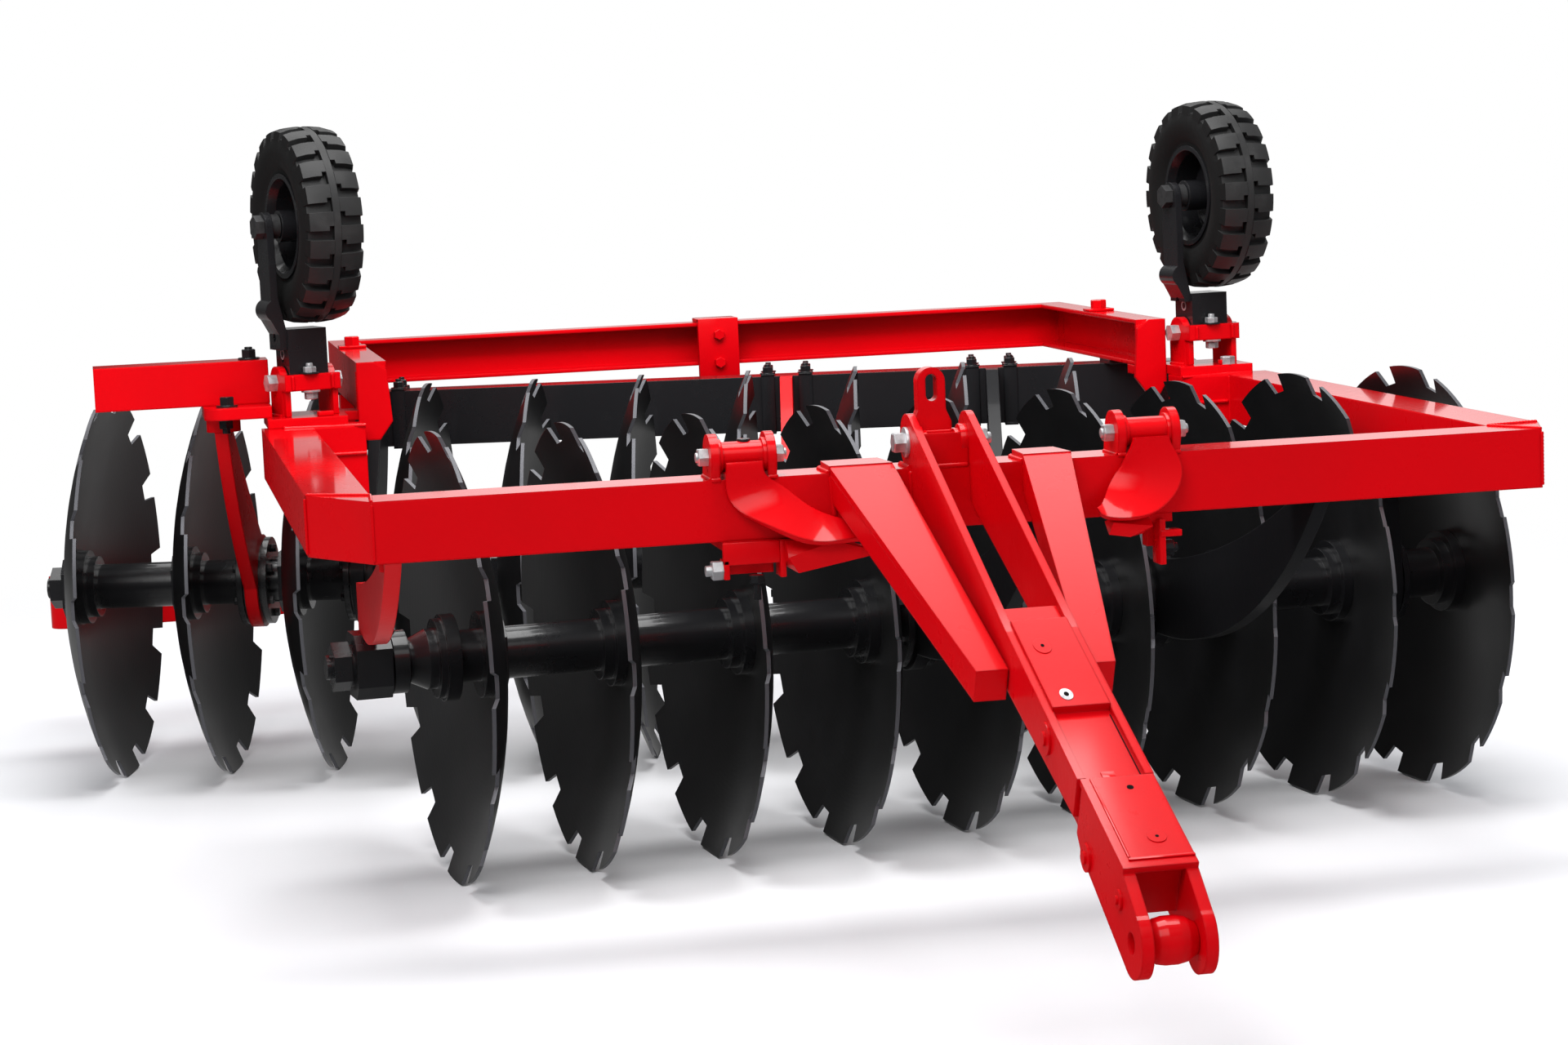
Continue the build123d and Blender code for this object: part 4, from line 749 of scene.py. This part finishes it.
class HARROW_OT_welds(bpy.types.Operator):
    """Lay the weld beads at the frame's joints"""

    bl_idname = "harrow.welds"
    bl_label = "Weld Beads"

    def execute(self, context):
        radius = context.scene.harrow_sizes.weld_radius * 1000.0
        mesh = bmesh.new()
        top = FRAME_TOP + 0.4
        # Corner joints: mitre lines on the top faces and down the chamfers' edges
        for first, last in (((-781, 82), (-786, 2)), ((-781, 82), (-861, 129)), ((781, 82), (826, 2)),
                            ((781, 82), (861, 96))):
            weld(mesh, (*first, top), (*last, top), UP, radius * 0.7)
        for x, y in ((-786, 0), (-863, 129), (826, 0), (863, 96)):
            weld(mesh, (x, y, FRAME_BOTTOM + 4), (x, y, FRAME_TOP - 4), (x, y - 400, 0), radius * 0.7)
        # Feet of the ears, the cheeks and the lifting block
        for x, way in ((-340, -1), (-252, 1), (216, -1), (304, 1)):
            weld(mesh, (x, 2, top), (x, 64, top), (way, 0, 1), radius * 0.85)
            weld(mesh, (x - way * 12, 0, top), (x, 0, top), (0, -1, 1), radius)
        for x, way in ((-71, -1), (21, 1)):
            weld(mesh, (x, 2, top), (x, 56, top), (way, 0, 1), radius * 1.2)
            weld(mesh, (x, -1, FRAME_TOP - 70), (x, -1, FRAME_TOP - 4), (way, -1, 0), radius)
        weld(mesh, (-58, 1, top), (8, 1, top), (0, -1, 1), radius)
        for first, last in (((-59, 21), (-59, 45)), ((-7, 21), (-7, 45)), ((-58, 21), (-8, 21))):
            weld(mesh, (*first, 663.5), (*last, 663.5), UP, radius * 0.8)
        # Braces along the bar's top and down its front
        for near, far in ((-182, -96), (84, 150)):
            for x, way in ((near, -1), (far, 1)):
                weld(mesh, (x, 66, top), (x, 4, top), (way, 0, 1), radius)
                weld(mesh, (x - way * 2, -1, 614), (x - way * 5, -1, 562), (way, -1, 0), radius)
            weld(mesh, (near, 70, top), (far, 70, top), (0, 1, 1), radius)
        # Wheel brackets: ears on their plates, plates on the beams, box posts beside the beams
        for side in (-1, 1):
            for across in (-48, 48):
                first, last = (bracket_spot(side, across, behind, 635.5) for behind in (-26, 26))
                weld(mesh, first, last, UP, radius)
            for across in (-34, 34):
                first = bracket_spot(side, across, -50, 679)
                last = bracket_spot(side, across, -50, 702)
                weld(mesh, first, last, AHEAD, radius * 0.8)
            inner = side * 781
            weld(mesh, (inner, 1184, FRAME_TOP - 2), (inner, 1184, 540), AHEAD, radius)
            weld(mesh, (inner - side * 84, 1183, FRAME_TOP), (inner + side * 48, 1204, FRAME_TOP), AHEAD, radius)
            weld(mesh, (inner - side * 83, 1182, 574), (inner - side * 4, 1182, 574), AHEAD, radius)
        weld(mesh, (-698, 1290, 636), (-698, 1290, 700), (-1, -1, 0), radius)
        weld(mesh, (698, 1290, 636), (698, 1290, 700), (1, -1, 0), radius)
        finished("frame_welds", mesh, "frame", "red_paint", 60.0, finishes["fine_red"])
        return {"FINISHED"}


class HARROW_OT_stage(bpy.types.Operator):
    """Set the studio floor, the lamps and the camera"""

    bl_idname = "harrow.stage"
    bl_label = "Studio"

    def execute(self, context):
        self.floor(tuple(context.scene.harrow_colours.floor))
        self.lamps()
        self.cards()
        self.sky(context.scene)
        self.camera(context.scene)
        context.scene.view_settings.view_transform = "Standard"
        return {"FINISHED"}

    def floor(self, colour):
        mesh = bmesh.new()
        bmesh.ops.create_circle(mesh, cap_ends=True, segments=64, radius=14.0)
        data = bpy.data.meshes.new("studio_floor")
        mesh.to_mesh(data)
        mesh.free()
        piece = bpy.data.objects.new("studio_floor", data)
        bpy.context.scene.collection.objects.link(piece)
        made = Finish("studio_floor", colour, 0.7)
        reach = made.off_axis((0.0, 0.4, 0.0), (0, 0, 1))
        fade = reach.above(1.9, 3.7)
        clear = made.node("ShaderNodeBsdfTransparent")
        mixed = made.node("ShaderNodeMixShader", {}, {0: fade})
        made.tree.links.new(made.shader.outputs[0], mixed.inputs[1])
        made.tree.links.new(clear.outputs[0], mixed.inputs[2])
        made.tree.links.new(mixed.outputs[0], made.tree.nodes["Material Output"].inputs["Surface"])
        data.materials.append(made.material)
        piece.visible_glossy = False

    def lamps(self):
        for name, place, aim, width, height, power in (
                ("key", (-3.2, -4.2, 4.6), (0, 0, 0.4), 3.6, 2.2, 260.0),
                ("fill", (4.6, -3.2, 2.6), (0, 0, 0.5), 2.4, 2.4, 95.0),
                ("rear", (0.1, -0.3, 2.5), (0.1, 1.35, 0.6), 2.6, 0.8, 90.0),
                ("back", (0.8, 4.6, 4.2), (0, 0, 0.5), 4.4, 1.6, 190.0),
                ("over", (0, 0, 5.2), (0, 0, 0), 3.4, 3.4, 150.0)):
            data = bpy.data.lights.new(name, "AREA")
            data.shape = "RECTANGLE"
            data.size = width
            data.size_y = height
            data.energy = power
            lamp = bpy.data.objects.new(name, data)
            lamp.visible_glossy = name in ("key", "over")
            look = (Vector(aim) - Vector(place)).normalized()
            lamp.matrix_world = Matrix.Translation(place) @ look.to_track_quat("-Z", "Y").to_matrix().to_4x4()
            bpy.context.scene.collection.objects.link(lamp)

    def cards(self):
        """Bright cards round the machine that only mirrors see."""
        middle = (0, 0, 0.5)
        for name, place, aim, width, height, glow in (
                ("low_card", (1.6, 5.0, 1.75), middle, 6.0, 2.4, 0.9),
                ("high_card", (0.2, 3.4, 4.4), middle, 8.0, 3.8, 1.9),
                ("side_card", (-4.6, -1.6, 1.6), middle, 3.2, 3.6, 0.12),
                ("front_card", (-1.0, -3.6, 3.4), middle, 5.4, 3.4, 1.5),
                ("floor_card", (0.0, 2.0, 0.003), (0.0, 2.0, 1.0), 8.0, 5.6, 0.5)):
            look = (Vector(aim) - Vector(place)).normalized()
            turn = look.to_track_quat("Z", "Y").to_matrix()
            placing = Matrix.Translation(place) @ turn.to_4x4()
            mesh = bmesh.new()
            bmesh.ops.create_grid(mesh, x_segments=1, y_segments=1, size=0.5,
                                  matrix=placing @ Matrix.Diagonal((width, height, 1.0, 1.0)))
            data = bpy.data.meshes.new(name)
            mesh.to_mesh(data)
            mesh.free()
            made = Finish(name, (0.0, 0.0, 0.0), 1.0)
            across = made.measure(place, turn.col[0]).size().above(width * 0.2, width * 0.5)
            upward = made.measure(place, turn.col[1]).size().above(height * 0.2, height * 0.5)
            fade = (1.0 - across) * (1.0 - upward)
            made.feed("Emission Color", made.blend(fade, (0.0, 0.0, 0.0), (1.0, 1.0, 1.0)))
            made.shader.inputs["Emission Strength"].default_value = glow
            data.materials.append(made.material)
            piece = bpy.data.objects.new(name, data)
            bpy.context.scene.collection.objects.link(piece)
            for sight in ("camera", "diffuse", "transmission", "volume_scatter", "shadow"):
                setattr(piece, "visible_" + sight, False)

    def sky(self, scene):
        """Soft light for the object, dimmed for mirrors; white for what looks straight or sees through."""
        world = bpy.data.worlds.new("studio")
        scene.world = world
        world.use_nodes = True
        tree = world.node_tree
        tree.nodes.clear()
        soft = tree.nodes.new("ShaderNodeBackground")
        soft.inputs["Color"].default_value = (0.9, 0.93, 1.0, 1.0)
        soft.inputs["Strength"].default_value = 0.62
        white = tree.nodes.new("ShaderNodeBackground")
        white.inputs["Color"].default_value = (1.0, 1.0, 1.0, 1.0)
        paths = tree.nodes.new("ShaderNodeLightPath")
        mixed = tree.nodes.new("ShaderNodeMixShader")
        seen = Shade(tree, paths.outputs["Is Camera Ray"])
        through = Shade(tree, paths.outputs["Is Transmission Ray"])
        either = seen.math("MAXIMUM", seen, through)
        glossy = Shade(tree, paths.outputs["Is Glossy Ray"])
        dim = tree.nodes.new("ShaderNodeBackground")
        dim.inputs["Color"].default_value = (1.0, 1.0, 1.0, 1.0)
        dim.inputs["Strength"].default_value = 0.09
        dimmed = tree.nodes.new("ShaderNodeMixShader")
        tree.links.new(glossy.socket, dimmed.inputs[0])
        tree.links.new(soft.outputs[0], dimmed.inputs[1])
        tree.links.new(dim.outputs[0], dimmed.inputs[2])
        tree.links.new(either.socket, mixed.inputs[0])
        tree.links.new(dimmed.outputs[0], mixed.inputs[1])
        tree.links.new(white.outputs[0], mixed.inputs[2])
        end = tree.nodes.new("ShaderNodeOutputWorld")
        tree.links.new(mixed.outputs[0], end.inputs["Surface"])

    def camera(self, scene):
        data = bpy.data.cameras.new("camera")
        data.sensor_width = 36.0
        data.lens = 78.143
        camera = bpy.data.objects.new("camera", data)
        yaw, pitch, roll = 0.1976, 0.1182, -0.0418
        ahead = Vector((math.sin(yaw) * math.cos(pitch), math.cos(yaw) * math.cos(pitch), -math.sin(pitch)))
        level = Vector((math.cos(yaw), -math.sin(yaw), 0.0))
        rise = level.cross(ahead)
        across = level * math.cos(roll) + rise * math.sin(roll)
        upward = rise * math.cos(roll) - level * math.sin(roll)
        placing = Matrix((across, upward, -ahead)).transposed().to_4x4()
        placing.translation = Vector((-1.12169, -4.37745, 1.08768)) + SHIFT / 1000.0
        camera.matrix_world = placing
        scene.collection.objects.link(camera)
        scene.camera = camera


class HARROW_PT_dressing(bpy.types.Panel):
    """The harrow's sizes, colours and makers"""

    bl_idname = "HARROW_PT_dressing"
    bl_label = "Disc Harrow"
    bl_space_type = "VIEW_3D"
    bl_region_type = "UI"
    bl_category = "Harrow"

    def draw(self, context):
        for group in (context.scene.harrow_sizes, context.scene.harrow_colours):
            for name in group.__annotations__:
                self.layout.prop(group, name)
        for operator in OPERATORS:
            self.layout.operator(operator.bl_idname)


OPERATORS = (
    HARROW_OT_stage,
    HARROW_OT_finishes,
    HARROW_OT_tyres,
    HARROW_OT_fittings,
    HARROW_OT_fasteners,
    HARROW_OT_welds,
)
CLASSES = (HarrowSizes, HarrowColours, *OPERATORS, HARROW_PT_dressing)


def register():
    for kind in CLASSES:
        bpy.utils.register_class(kind)
    bpy.types.Scene.harrow_sizes = PointerProperty(type=HarrowSizes)
    bpy.types.Scene.harrow_colours = PointerProperty(type=HarrowColours)


def unregister():
    del bpy.types.Scene.harrow_colours
    del bpy.types.Scene.harrow_sizes
    for kind in reversed(CLASSES):
        bpy.utils.unregister_class(kind)


def main():
    register()
    for operator in OPERATORS:
        group, name = operator.bl_idname.split(".")
        getattr(getattr(bpy.ops, group), name)()


if __name__ == "__main__":
    main()
